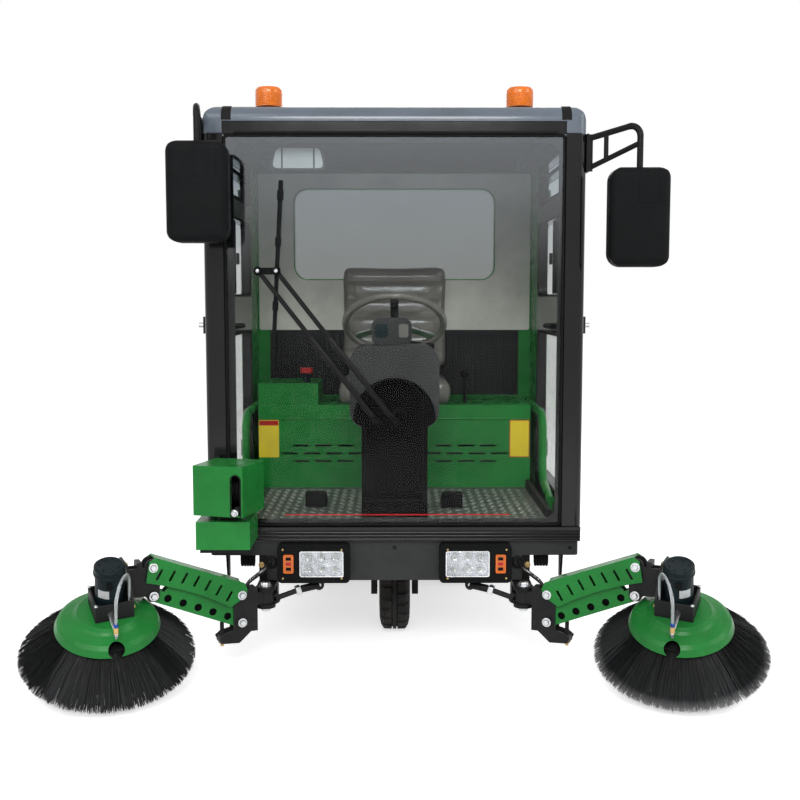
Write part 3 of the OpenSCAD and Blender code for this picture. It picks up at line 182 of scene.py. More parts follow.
class SweeperStage(bpy.types.PropertyGroup):
    """Camera and lights."""

    focal: bpy.props.FloatProperty(
        name="Focal length", description="Focal length of the camera in millimetres", default=49.5,
        min=20, max=120)
    key: bpy.props.FloatProperty(
        name="Key light", description="Power of the large light in front", default=90, min=0, max=2000,
        unit="POWER")
    fill: bpy.props.FloatProperty(
        name="Sky", description="Strength of the even light from all round", default=0.45, min=0, max=2)
    floor: colour_setting("Floor", "Colour of the floor", (0.88, 0.88, 0.88))


# Shapes, each a pair of points and faces


def lathe(profile, segments=32):
    """Turns a profile of (radius, height) round Z."""
    verts, rings = [], []
    for r, z in profile:
        if r < 1e-6:
            rings.append([len(verts)] * segments)
            verts.append((0, 0, z))
        else:
            start = len(verts)
            for i in range(segments):
                a = math.tau * i / segments
                verts.append((*polar(r, a), z))
            rings.append(list(range(start, start + segments)))
    faces = []
    for lower, upper in zip(rings, rings[1:]):
        for i in range(segments):
            j = (i + 1) % segments
            face = []
            for v in (lower[i], lower[j], upper[j], upper[i]):
                if v not in face:
                    face.append(v)
            if len(face) > 2:
                faces.append(face)
    return verts, faces


def block(w, d, h, edge=0.002, steps=2):
    """A box centred on the origin with rounded edges."""
    bm = bmesh.new()
    bmesh.ops.create_cube(bm, size=1, matrix=Matrix.Diagonal((w, d, h, 1)))
    if edge > 0:
        bmesh.ops.bevel(bm, geom=bm.edges[:], offset=min(edge, 0.49 * min(w, d, h)), segments=steps,
                        profile=0.5, affect="EDGES")
    bm.verts.ensure_lookup_table()
    verts = [v.co[:] for v in bm.verts]
    faces = [[v.index for v in f.verts] for f in bm.faces]
    bm.free()
    return verts, faces


def smooth_path(points, steps=8):
    """Points of a smooth curve through the given ones."""
    pts = [Vector(p) for p in points]
    pts = [2 * pts[0] - pts[1]] + pts + [2 * pts[-1] - pts[-2]]
    path = []
    for a, b, c, d in zip(pts, pts[1:], pts[2:], pts[3:]):
        for i in range(steps):
            t = i / steps
            path.append(0.5 * ((2 * b) + (c - a) * t + (2 * a - 5 * b + 4 * c - d) * t * t
                               + (3 * b - a - 3 * c + d) * t ** 3))
    return path + [pts[-2]]


def tube(points, radius, sides=10, closed=False, ribs=0.0):
    """A round tube along points; ribs makes every second ring that much larger."""
    pts = [Vector(p) for p in points]
    count = len(pts)
    verts, faces = [], []
    normal = None
    for i, p in enumerate(pts):
        before = pts[i - 1] if closed or i else p
        after = pts[(i + 1) % count] if closed or i < count - 1 else p
        along = (after - before).normalized()
        if normal is None:
            normal = along.orthogonal()
        normal = (normal - along * normal.dot(along)).normalized()
        side = along.cross(normal)
        r = radius + (ribs if i % 2 else 0)
        for j in range(sides):
            a = math.tau * j / sides
            verts.append(p + normal * (r * math.cos(a)) + side * (r * math.sin(a)))
    for i in range(count if closed else count - 1):
        for j in range(sides):
            k, n = (j + 1) % sides, (i + 1) % count
            faces.append([i * sides + j, i * sides + k, n * sides + k, n * sides + j])
    if not closed:
        faces.append(list(range(sides))[::-1])
        faces.append([(count - 1) * sides + j for j in range(sides)])
    return verts, faces


def outline(w, h, r, steps=5):
    """Points round a rectangle with round corners."""
    r = min(r, w / 2 - 1e-4, h / 2 - 1e-4)
    pts = []
    for cx, cy, start in ((1, 1, 0), (-1, 1, 90), (-1, -1, 180), (1, -1, 270)):
        for i in range(steps + 1):
            a = math.radians(start + 90 * i / steps)
            pts.append((cx * (w / 2 - r) + r * math.cos(a), cy * (h / 2 - r) + r * math.sin(a)))
    return pts


def prism(points, depth):
    """A flat outline made thick along Z, from 0 to depth."""
    n = len(points)
    verts = [(x, y, 0) for x, y in points] + [(x, y, depth) for x, y in points]
    faces = [list(range(n))[::-1], list(range(n, 2 * n))]
    faces += [[i, (i + 1) % n, n + (i + 1) % n, n + i] for i in range(n)]
    return verts, faces


def ring_plate(outer, inner, depth):
    """A flat frame between two outlines of as many points, from 0 to depth along Z."""
    n = len(outer)
    verts = [(x, y, z) for z in (0, depth) for loop in (outer, inner) for x, y in loop]
    faces = []
    for i in range(n):
        j = (i + 1) % n
        faces += [[n + i, n + j, j, i], [2 * n + i, 2 * n + j, 3 * n + j, 3 * n + i],
                  [i, j, 2 * n + j, 2 * n + i], [3 * n + i, 3 * n + j, n + j, n + i]]
    return verts, faces


def hex_head(r, h):
    """A hexagon bolt head with a chamfered top on a washer, standing on z = 0."""
    washer = lathe([(0, 0), (1.35 * r, 0), (1.4 * r, 0.0006), (1.4 * r, 0.0022), (0, 0.0024)], 20)
    head = lathe([(0, 0.002), (r, 0.002), (r, h - 0.18 * r), (0.84 * r, h), (0, h)], 6)
    start = len(washer[0])
    return washer[0] + head[0], washer[1] + [[start + i for i in f] for f in head[1]]


def dome_head(r, h):
    """A round screw head standing on z = 0."""
    return lathe([(0, 0), (r, 0), (r, 0.35 * h), (0.8 * r, 0.8 * h), (0.4 * r, h), (0, h)], 14)


class Form:
    """Gathers the shapes of one piece, then makes its object and lets it ride on a body."""

    def __init__(self):
        self.verts, self.faces, self.marks, self.finishes, self.tips = [], [], [], [], []

    def add(self, shape, finish, place=None, tips=None):
        verts, faces = shape
        base = len(self.verts)
        place = place or Matrix()
        self.verts += [place @ Vector(v) for v in verts]
        self.tips += tips or [0.0] * len(verts)
        if finish not in self.finishes:
            self.finishes.append(finish)
        mark = self.finishes.index(finish)
        turned = place.determinant() < 0
        for face in faces:
            ring = [base + i for i in face]
            self.faces.append(ring[::-1] if turned else ring)
            self.marks.append(mark)
        return self

    def piece(self, name, body, slot, replaces=(), sharp=38):
        mesh = bpy.data.meshes.new(name)
        mesh.from_pydata(self.verts, [], self.faces)
        for finish in self.finishes:
            mesh.materials.append(material(finish))
        mesh.polygons.foreach_set("material_index", self.marks)
        mesh.polygons.foreach_set("use_smooth", [True] * len(self.faces))
        mesh.set_sharp_from_angle(angle=math.radians(sharp))
        if any(self.tips):
            mesh.attributes.new("tip", "FLOAT", "POINT").data.foreach_set("value", self.tips)
        mesh.update()
        made = bpy.data.objects.new(name, mesh)
        bpy.context.scene.collection.objects.link(made)
        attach(made, body)
        if replaces:
            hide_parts(*replaces)
        return made


# Shader groups that several finishes share


def add_node(tree, kind, links=None, **values):
    """Adds a node; links maps an input to a socket or to a constant."""
    made = tree.nodes.new(kind)
    for key, value in values.items():
        setattr(made, key, value)
    for key, source in (links or {}).items():
        if isinstance(source, bpy.types.NodeSocket):
            tree.links.new(source, made.inputs[key])
        else:
            made.inputs[key].default_value = source
    return made


def new_group(name, inputs, outputs):
    """A shader group with float inputs [(name, default)] and outputs [(name, kind)]."""
    tree = bpy.data.node_groups.new(name, "ShaderNodeTree")
    for label, default in inputs:
        socket = tree.interface.new_socket(label, in_out="INPUT", socket_type="NodeSocketFloat")
        socket.default_value = default
    for label, kind in outputs:
        tree.interface.new_socket(label, in_out="OUTPUT", socket_type=kind)
    return tree, tree.nodes.new("NodeGroupInput").outputs, tree.nodes.new("NodeGroupOutput").inputs


def object_place(tree):
    """Coordinates in the object's own space."""
    return add_node(tree, "ShaderNodeTexCoord").outputs["Object"]


def calc(tree, operation, a, b, clamp=False):
    """The result of one sum on two values."""
    return add_node(tree, "ShaderNodeMath", {0: a, 1: b}, operation=operation, use_clamp=clamp).outputs[0]


def mix(tree, share, low, high):
    """A colour between low and high."""
    return add_node(tree, "ShaderNodeMix", {0: share, 6: low, 7: high}, data_type="RGBA").outputs[2]


def spread(tree, value, low, high, to_low=0.0, to_high=1.0, kind="LINEAR"):
    """Maps a value from one range to another."""
    links = {"Value": value, "From Min": low, "From Max": high, "To Min": to_low, "To Max": to_high}
    return add_node(tree, "ShaderNodeMapRange", links, interpolation_type=kind).outputs[0]


def noise(tree, scale, detail, rough=0.5):
    """Cloudy noise in the object's own space."""
    links = {"Vector": object_place(tree), "Scale": scale, "Detail": detail, "Roughness": rough}
    return add_node(tree, "ShaderNodeTexNoise", links).outputs[0]


def mottle_group():
    """Soft uneven patches, from Low to High."""
    tree, given, out = new_group("Mottle", [("Scale", 6), ("Low", 0), ("High", 1)],
                                 [("Value", "NodeSocketFloat")])
    patches = noise(tree, given["Scale"], 5, 0.6)
    tree.links.new(spread(tree, patches, 0.32, 0.68, given["Low"], given["High"]), out["Value"])
    return tree


def edge_wear_and_highlight_group():
    """Where an edge is rubbed and lightened, partly wear and partly a painted highlight, and a normal that
    rounds the edge.
    """
    tree, given, out = new_group("Edge rub and painted highlight", [("Radius", 0.003), ("Gain", 4)],
                                 [("Mask", "NodeSocketFloat"), ("Normal", "NodeSocketVector")])
    bevel = add_node(tree, "ShaderNodeBevel", {"Radius": given["Radius"]}, samples=4).outputs[0]
    flat = add_node(tree, "ShaderNodeNewGeometry").outputs["Normal"]
    same = add_node(tree, "ShaderNodeVectorMath", {0: bevel, 1: flat}, operation="DOT_PRODUCT")
    apart = calc(tree, "SUBTRACT", 1.0, same.outputs["Value"])
    worn = calc(tree, "MULTIPLY", apart, noise(tree, 45, 4))
    tree.links.new(calc(tree, "MULTIPLY", worn, given["Gain"], clamp=True), out["Mask"])
    tree.links.new(bevel, out["Normal"])
    return tree


def dust_group():
    """Road dust that settles on upward faces and low down."""
    tree, given, out = new_group("Road dust", [("Amount", 0.2), ("Height", 0.6)],
                                 [("Mask", "NodeSocketFloat")])
    geometry = add_node(tree, "ShaderNodeNewGeometry").outputs
    up = add_node(tree, "ShaderNodeSeparateXYZ", {0: geometry["Normal"]}).outputs["Z"]
    high = add_node(tree, "ShaderNodeSeparateXYZ", {0: geometry["Position"]}).outputs["Z"]
    low = spread(tree, high, 0.0, given["Height"], 1.0, 0.15)
    level = spread(tree, up, -0.2, 1.0, 0.25, 1.0)
    patch = spread(tree, noise(tree, 14, 8, 0.7), 0.4, 0.75)
    laid = calc(tree, "MULTIPLY", calc(tree, "MULTIPLY", low, level), patch)
    tree.links.new(calc(tree, "MULTIPLY", laid, given["Amount"], clamp=True), out["Mask"])
    return tree


def grain_group():
    """Height of a fine moulded or sprayed grain."""
    tree, given, out = new_group("Grain", [("Scale", 400)], [("Height", "NodeSocketFloat")])
    cells = add_node(tree, "ShaderNodeTexVoronoi", {"Vector": object_place(tree), "Scale": given["Scale"]})
    height = calc(tree, "ADD", cells.outputs["Distance"], noise(tree, given["Scale"], 3))
    tree.links.new(height, out["Height"])
    return tree


GROUPS = {}


def shared(name):
    """The named shader group, built the first time."""
    makers = {"mottle": mottle_group, "edge": edge_wear_and_highlight_group, "dust": dust_group, "grain": grain_group}
    if name not in GROUPS:
        GROUPS[name] = makers[name]()
    return GROUPS[name]


def put_group(tree, name, values):
    """Adds a shared group with these values."""
    return add_node(tree, "ShaderNodeGroup", values, node_tree=shared(name))


# Finishes: colour, roughness from and to, and what else differs from plain paint
DUST = (0.28, 0.25, 0.21)
# edge is the colour of rubbed edges, lighter than the finish: partly wear, partly a painted highlight
FINISHES = {
    "green_paint": dict(colour="green", rough=(0.22, 0.36), coat=0.05, gain=4, edge=(0.05, 0.26, 0.08),
                        dust=0.07, grain=(260, 0.0003)),
    "black_paint": dict(colour="black", rough=(0.32, 0.5), gain=3, edge=(0.05, 0.05, 0.052), dust=0.10,
                        grain=(320, 0.0004)),
    "charcoal_paint": dict(colour=(0.014, 0.014, 0.015), rough=(0.38, 0.55), gain=4, edge=(0.07, 0.07, 0.07),
                           dust=0.10, grain=(320, 0.0005)),
    "motor_paint": dict(colour="motor", rough=(0.35, 0.5), gain=3, edge=(0.05, 0.06, 0.065), dust=0.08,
                        grain=(280, 0.0006), spec=0.08),
    "gloss_black": dict(colour="black", rough=(0.08, 0.18), coat=0.3, gain=1.5, edge=(0.03, 0.03, 0.03),
                        dust=0.03),
    "gloss_charcoal": dict(colour=(0.115, 0.138, 0.170), rough=(0.14, 0.24), coat=0.5, gain=1.5,
                           edge=(0.18, 0.20, 0.23), dust=0.03),
    "charcoal_plastic": dict(colour="charcoal", rough=(0.45, 0.6), gain=3, edge=(0.05, 0.05, 0.05), dust=0.08,
                             grain=(700, 0.0006)),
    "black_plastic": dict(colour=(0.005, 0.0055, 0.006), rough=(0.42, 0.58), gain=3, edge=(0.02, 0.02, 0.02),
                          dust=0.05, grain=(650, 0.0007), spec=0.06),
    # Painted shade: a near black for recesses and hollows that lie in shade
    "black_void": dict(colour=(0.002, 0.002, 0.002), rough=(0.7, 0.9), spec=0.05, grain=(500, 0.0004)),
    "black_rubber": dict(colour=(0.007, 0.007, 0.007), rough=(0.55, 0.75), dust=0.10, grain=(500, 0.0005)),
    "tyre_rubber": dict(colour=(0.016, 0.016, 0.016), rough=(0.65, 0.85), gain=2, edge=(0.05, 0.048, 0.045),
                        dust=0.30, grain=(380, 0.0008)),
    "floor_plate": dict(colour=(0.10, 0.125, 0.105), rough=(0.4, 0.65), metallic=0.5, gain=4,
                        edge=(0.30, 0.32, 0.29), dust=0.35, grain=(220, 0.0006)),
    "chequer": dict(colour=(0.34, 0.36, 0.33), rough=(0.25, 0.4), metallic=0.8, dust=0.2,
                    grain=(220, 0.0003)),
    "zinc": dict(colour=(0.62, 0.63, 0.65), rough=(0.22, 0.4), metallic=1.0, gain=2, edge=(0.8, 0.8, 0.8),
                 dust=0.05, grain=(180, 0.0004)),
    "brass": dict(colour=(0.55, 0.38, 0.16), rough=(0.25, 0.4), metallic=1.0, gain=2, edge=(0.7, 0.5, 0.25),
                  dust=0.05, grain=(200, 0.0003)),
    "seat_vinyl": dict(colour=(0.15, 0.145, 0.13), rough=(0.25, 0.45), coat=0.5, dust=0.05,
                       grain=(40, 0.003)),
    "lining": dict(colour=(0.020, 0.021, 0.022), rough=(0.6, 0.75), dust=0.08, grain=(500, 0.0008)),
    "pale_lining": dict(colour=(0.60, 0.595, 0.55), rough=(0.6, 0.8), dust=0.05, grain=(300, 0.0008)),
    "battery_case": dict(colour=(0.05, 0.05, 0.055), rough=(0.5, 0.6), grain=(500, 0.0005)),
    "yellow_plate": dict(colour=(0.80, 0.62, 0.04), rough=(0.3, 0.4), dust=0.05, grain=(150, 0.0002)),
    "red_paint": dict(colour=(0.45, 0.018, 0.018), rough=(0.28, 0.4), coat=0.3, dust=0.05,
                      grain=(300, 0.0002)),
    "stripe": dict(colour="stripe", rough=(0.3, 0.4), grain=(300, 0.0001)),
    "blue_ring": dict(colour=(0.02, 0.08, 0.35), rough=(0.35, 0.45), grain=(300, 0.0002)),
    "grey_plate": dict(colour=(0.50, 0.51, 0.52), rough=(0.35, 0.5), metallic=0.4, dust=0.05,
                       grain=(200, 0.0002)),
    "reflector": dict(colour=(0.80, 0.81, 0.83), rough=(0.12, 0.3), metallic=0.85, grain=(110, 0.004)),
    "led": dict(colour=(0.75, 0.72, 0.55), rough=(0.2, 0.3), coat=0.5, grain=(300, 0.0002)),
    "mirror_silver": dict(colour=(0.85, 0.86, 0.87), rough=(0.02, 0.05), metallic=1.0, dust=0.06),
}
LENSES = {
    "amber_lens": dict(colour="amber", rough=0.16, through=0.35, glow=0.10),
    "red_lens": dict(colour=(0.50, 0.012, 0.012), rough=0.16, through=0.3, glow=0.05),
    "clear_lens": dict(colour=(0.93, 0.95, 0.97), rough=0.04, through=0.92, glow=0.0),
}
GLASSES = {
    "glass": dict(colour=(0.97, 0.985, 0.98), index=1.2),
    # top is a painted sky reflection: the slate tint that the windscreen takes on towards the roof
    "screen_glass": dict(colour=(0.97, 0.98, 0.975), index=1.12, top=(0.55, 0.64, 0.73), shine=0.65),
    "dark_glass": dict(colour=(0.23, 0.24, 0.235), index=1.06),
    "hose_clear": dict(colour=(0.86, 0.89, 0.90), index=1.3),
}
BRISTLES = {
    "bristle_clean": dict(tip_colour=(0.020, 0.020, 0.021)),
    "bristle_dusty": dict(tip_colour=(0.16, 0.16, 0.165)),
}
# Heights between which the windscreen's painted sky reflection, a slate tint, grows
PAINTED_SKY_BAND = (1.28, 1.85)


def tint(value):
    """A colour given as numbers, or by name from the settings."""
    if isinstance(value, str):
        value = getattr(bpy.context.scene.sweeper_colours, value)
    return (*value, 1.0)


def blank(name, values):
    """A new material, its tree and its shader's inputs, with these values set."""
    made = bpy.data.materials.new(name)
    made.use_nodes = True
    inputs = made.node_tree.nodes["Principled BSDF"].inputs
    for key, value in values.items():
        inputs[key].default_value = value
    return made, made.node_tree, inputs


def mottled(tree, colour, shade, scale):
    """A colour with soft patches of a deeper shade."""
    deep = tuple(shade * c for c in colour[:3]) + (1.0,)
    return mix(tree, put_group(tree, "mottle", {"Scale": scale}).outputs[0], deep, colour)


def shaded(name, colour, rough, metallic=0.0, coat=0.0, gain=0.0, edge=None, dust=0.0, grain=None,
           spec=0.12):
    """A solid finish with uneven colour and gloss, rubbed edges lightened partly as a painted highlight, dust
    and fine grain.
    """
    made, tree, inputs = blank(name, {
        "Metallic": metallic, "Specular IOR Level": spec, "Coat Weight": coat, "Coat Roughness": 0.12})
    look = mottled(tree, tint(colour), 0.72, 5.0)
    normal = None
    if gain:
        # Edges turn to the lighter edge colour: partly wear, partly a painted highlight
        rub_and_highlight = put_group(tree, "edge", {"Radius": 0.0025, "Gain": gain})
        look = mix(tree, rub_and_highlight.outputs["Mask"], look, tint(edge))
        normal = rub_and_highlight.outputs["Normal"]
    if dust:
        film = put_group(tree, "dust", {"Amount": dust, "Height": 0.9})
        look = mix(tree, film.outputs[0], look, tint(DUST))
    tree.links.new(look, inputs["Base Color"])
    gloss = put_group(tree, "mottle", {"Scale": 17.0, "Low": rough[0], "High": rough[1]})
    tree.links.new(gloss.outputs[0], inputs["Roughness"])
    if grain:
        fine = put_group(tree, "grain", {"Scale": grain[0]})
        links = {"Height": fine.outputs[0], "Distance": grain[1], "Strength": 0.6}
        if normal:
            links["Normal"] = normal
        normal = add_node(tree, "ShaderNodeBump", links).outputs[0]
    if normal:
        tree.links.new(normal, inputs["Normal"])
    return made


def lens(name, colour, rough, through, glow):
    """Coloured lamp plastic that lets some light through."""
    base = tint(colour)
    made, tree, inputs = blank(name, {
        "Roughness": rough, "Transmission Weight": through, "IOR": 1.46, "Emission Color": base,
        "Emission Strength": glow})
    tree.links.new(mottled(tree, base, 0.8, 30.0), inputs["Base Color"])
    return made


def glass(name, colour, index, top=None, shine=0.0):
    """Clear pane that also lets light into the cab; top paints a slate sky reflection into its colour and
    silvers it towards the roof.
    """
    made, tree, inputs = blank(name, {"Roughness": 0.0, "Transmission Weight": 1.0, "IOR": index})
    look = mottled(tree, tint(colour), 0.97, 9.0)
    # Painted reflection: towards the roof the pane's colour turns to the slate top tint, which stands in for
    # the sky seen in it
    if top:
        high = add_node(tree, "ShaderNodeSeparateXYZ", {0: object_place(tree)}).outputs["Z"]
        share = spread(tree, high, *PAINTED_SKY_BAND, kind="SMOOTHSTEP")
        look = mix(tree, share, look, tint(top))
        tree.links.new(calc(tree, "MULTIPLY", share, shine), inputs["Coat Weight"])
        inputs["Coat IOR"].default_value = 2.2
        inputs["Coat Roughness"].default_value = 0.05
    tree.links.new(look, inputs["Base Color"])
    pane = tree.nodes["Principled BSDF"].outputs[0]
    clear = add_node(tree, "ShaderNodeBsdfTransparent", {0: tint(colour)}).outputs[0]
    path = add_node(tree, "ShaderNodeLightPath").outputs
    passing = calc(tree, "MAXIMUM", path["Is Shadow Ray"], path["Is Diffuse Ray"])
    both = add_node(tree, "ShaderNodeMixShader", {0: passing, 1: pane, 2: clear})
    tree.links.new(both.outputs[0], tree.nodes["Material Output"].inputs["Surface"])
    return made


def bristle(name, tip_colour):
    """Nylon filament, darker at the root and dusty towards the tip."""
    made, tree, inputs = blank(name, {"Specular IOR Level": 0.2})
    along = add_node(tree, "ShaderNodeAttribute", attribute_name="tip")
    ramp = add_node(tree, "ShaderNodeValToRGB", {0: along.outputs["Fac"]})
    stops = ramp.color_ramp.elements
    stops[0].color = (0.006, 0.006, 0.006, 1)
    stops[1].position = 0.97
    stops[1].color = (*tip_colour, 1)
    stops.new(0.84).color = (0.020, 0.021, 0.022, 1)
    tree.links.new(ramp.outputs[0], inputs["Base Color"])
    gloss = put_group(tree, "mottle", {"Scale": 60.0, "Low": 0.35, "High": 0.6})
    tree.links.new(gloss.outputs[0], inputs["Roughness"])
    return made


MATERIALS = {}


def material(finish):
    """The named finish, built the first time."""
    if finish not in MATERIALS:
        for table, build in ((FINISHES, shaded), (LENSES, lens), (GLASSES, glass), (BRISTLES, bristle)):
            if finish in table:
                MATERIALS[finish] = build(finish, **table[finish])
    return MATERIALS[finish]


# Nodes of each finish, then those that are there on both sides
NODE_FINISHES = {
    "black_paint": ["chassis", "mirror_arms", "rear_axle", "roller_housing", "steering_fork",
                    "wiper_drive_arm", "wiper_guide_arm"],
    "floor_plate": ["floor_pan"], "battery_case": ["battery_pack"], "gloss_charcoal": ["roof"],
    "charcoal_plastic": ["front_panel", "steering_console"],
    "gloss_black": ["cab_sill", "front_pillars", "door_left", "door_right"],
    "screen_glass": ["cab_glass"], "glass": ["door_glass_left", "door_glass_right"],
    "green_paint": ["cab_rear_wall", "seat_box", "hose_cabinets", "rear_body", "grab_rails", "rear_door"],
    "black_plastic": ["controls", "mirror_heads", "steering_wheel", "wiper_blade"],
    "zinc": ["front_rim", "rear_rim_left", "rear_rim_right"],
    "clear_lens": ["headlamps"], "amber_lens": ["amber_lamps"], "red_lens": ["tail_lamps"],
    "seat_vinyl": ["seat_cushion", "seat_backrest"], "bristle_clean": ["roller_brush"],
    "tyre_rubber": ["front_tyre", "rear_tyre_left", "rear_tyre_right"],
}
SIDE_FINISHES = {
    "charcoal_paint": ["swing_bracket", "brush_cradle"], "motor_paint": ["brush_motor"],
    "green_paint": ["upper_link", "lower_link", "brush_cover"], "bristle_clean": ["side_brush"],
    "hose_clear": ["spray_hose"],
}


def repaint(node, finish, chosen):
    """Gives the finish to the faces of a node whose centre passes the test."""
    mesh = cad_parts[node].data
    mesh.materials.append(material(finish))
    mark = len(mesh.materials) - 1
    for face in mesh.polygons:
        if chosen(face.center, face.normal):
            face.material_index = mark


class SWEEPER_OT_paint(bpy.types.Operator):
    """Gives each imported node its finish"""

    bl_idname = "sweeper.paint"
    bl_label = "Paint the frame"

    def execute(self, context):
        for finish, nodes in NODE_FINISHES.items():
            self.coat(finish, nodes)
        for finish, nodes in SIDE_FINISHES.items():
            self.coat(finish, [f"{node}_{side}" for node in nodes for side, _ in SIDES])
        repaint("cab_glass", "dark_glass", lambda c, n: c.y > SCREEN_Y + 0.5)
        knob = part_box("controls")[1].z - 0.0235
        repaint("controls", "motor_paint", lambda c, n: c.x < -0.2 and c.z > 0.9)
        repaint("controls", "red_paint", lambda c, n: c.x < -0.2 and c.z > knob)
        column = column_place().inverted()
        boss_r, spoke_end = 0.036, 0.168
        repaint("steering_wheel", "zinc", lambda c, n: (column @ c).to_2d().length > boss_r)
        repaint("steering_wheel", "seat_vinyl", lambda c, n: (column @ c).to_2d().length > spoke_end)
        cowl_bottom, arch_z, arch_r, arch_back = 0.83, 0.9, 0.107, SCREEN_Y + 0.172
        # Painted shade: the console below the cowl and the recess of its arch turn near black
        repaint("steering_console", "black_void", lambda c, n: c.z < cowl_bottom or (
            math.hypot(c.x, c.z - arch_z) < arch_r and c.y < arch_back))
        band_top, band_half = ROOF_BOTTOM + 0.043, 0.585
        repaint("roof", "gloss_black", lambda c, n: n.y < -0.9 and c.z < band_top and abs(c.x) < band_half)
        ledge = SILL_TOP - 0.0502
        repaint("cab_sill", "charcoal_plastic", lambda c, n: c.z < ledge and c.y < SCREEN_Y)
        repaint("roof", "lining", lambda c, n: n.z < -0.9 and c.y > SCREEN_Y + 0.02)
        repaint("front_panel", "black_plastic", lambda c, n: c.y < SCREEN_Y - 0.019)
        repaint("hose_cabinets", "black_paint", lambda c, n: c.z < 0.4605 or 0.556 < c.z < 0.574)
        lock_x, lock_y = CAB_HALF + 0.0185, SCREEN_Y + 0.2
        for node in ("door_right", "door_left"):
            repaint(node, "zinc", lambda c, n: abs(c.x) > lock_x and c.y < lock_y)
        return {"FINISHED"}

    @staticmethod
    def coat(finish, nodes):
        for node in nodes:
            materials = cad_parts[node].data.materials
            materials.clear()
            materials.append(material(finish))


# Brushes


def filament(root, tip, lift, radius):
    """One bristle: a thin three-sided tube that bows by lift on its way."""
    root, tip = Vector(root), Vector(tip)
    along = (tip - root).normalized()
    side = along.orthogonal().normalized()
    across = along.cross(side)
    verts, tips = [], []
    for t in (0.0, 0.55, 1.0):
        centre = root.lerp(tip, t) + Vector((0, 0, lift * 4 * t * (1 - t)))
        size = radius * (1 - 0.35 * t)
        for j in range(3):
            a = math.tau * j / 3
            verts.append(centre + side * (size * math.cos(a)) + across * (size * math.sin(a)))
            tips.append(t)
    faces = [[3 * i + j, 3 * i + (j + 1) % 3, 3 * i + 3 + (j + 1) % 3, 3 * i + 3 + j]
             for i in range(2) for j in range(3)]
    faces.append([6, 7, 8])
    return verts, faces, tips


class SWEEPER_OT_side_brushes(bpy.types.Operator):
    """Fills the side brushes with tufts of bristles on a hub plate"""

    bl_idname = "sweeper.side_brushes"
    bl_label = "Side brush bristles"

    def execute(self, context):
        settings = context.scene.sweeper_bristles
        rng = random.Random(7)
        # Rings of tufts: root radius and height, tip radius and height
        rings = ((0.134, 0.136, 0.281, 0.006), (0.118, 0.132, 0.266, 0.004), (0.098, 0.130, 0.246, 0.002))
        pitch = math.tau / settings.tufts
        for side, k in SIDES:
            finish = "bristle_clean" if side == "right" else "bristle_dusty"
            form = Form()
            place = brush_place(k)
            hub = [(0, 0.120), (0.060, 0.120), (0.064, 0.126), (0.148, 0.128), (0.150, 0.134), (0.142, 0.138),
                   (0.070, 0.140), (0.062, 0.146), (0.018, 0.147), (0.018, 0.1935), (0, 0.1935)]
            form.add(lathe(hub, 48), "black_plastic", place)
            packed = [(0.092, 0.126), (0.190, 0.046), (0.186, 0.044), (0.088, 0.120)]
            form.add(lathe(packed, 48), "bristle_clean", place)
            for ring, (root_r, root_h, tip_r, tip_h) in enumerate(rings):
                for i in range(settings.tufts):
                    middle = pitch * (i + 0.5 * (ring % 2))
                    swing = rng.uniform(-0.012, 0.012)
                    for _ in range(settings.filaments):
                        a0 = middle + pitch * rng.uniform(-0.42, 0.42)
                        a1 = a0 + swing + rng.gauss(0, 0.022)
                        r0 = root_r + rng.uniform(-0.006, 0.006)
                        r1 = tip_r + rng.uniform(-0.005, 0.005)
                        h1 = tip_h + rng.uniform(-0.001, 0.010)
                        verts, faces, tips = filament(
                            (*polar(r0, a0), root_h), (*polar(r1, a1), h1), rng.uniform(0.002, 0.010),
                            settings.thickness)
                        form.add((verts, faces), finish, place, tips)
            form.piece(f"side_brush_bristles_{side}", f"brush_{side}", "bristle", [f"side_brush_{side}"],
                       sharp=80)
        return {"FINISHED"}


class SWEEPER_OT_roller(bpy.types.Operator):
    """Winds rows of tufts round the sweeping roller"""

    bl_idname = "sweeper.roller"
    bl_label = "Roller bristles"

    def execute(self, context):
        settings = context.scene.sweeper_bristles
        rng = random.Random(11)
        low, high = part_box("roller_brush")
        radius = (high.z - low.z) / 2
        centre = (low + high) / 2
        half = 0.380
        place = moved(centre) @ turned(90, "Y")
        form = Form()
        core = [(0, -0.402), (0.016, -0.402), (0.016, -half - 0.002), (0.055, -half), (0.058, -half + 0.004),
                (0.058, half - 0.004), (0.055, half), (0.016, half + 0.002), (0.016, 0.402), (0, 0.402)]
        form.add(lathe(core, 32), "black_plastic", place)
        tufts = 46
        for row in range(settings.roller_rows):
            for i in range(tufts):
                t = (i + 0.5) / tufts
                along = (2 * t - 1) * (half - 0.008)
                angle = math.tau * row / settings.roller_rows + 1.6 * t
                for _ in range(14):
                    a = angle + rng.gauss(0, 0.05)
                    z0 = along + rng.uniform(-0.004, 0.004)
                    z1 = along + rng.gauss(0, 0.006)
                    tip = radius - rng.uniform(0.0, 0.006)
                    b = a + rng.gauss(0, 0.04)
                    z1 = max(-half, min(half, z1))
                    verts, faces, tips = filament(
                        (*polar(0.056, a), z0), (*polar(tip, b), z1), 0.0, settings.thickness * 1.3)
                    form.add((verts, faces), "bristle_dusty", place, tips)
        form.piece("roller_bristles", "roller", "bristle", ["roller_brush"], sharp=80)
        return {"FINISHED"}


# Wheels


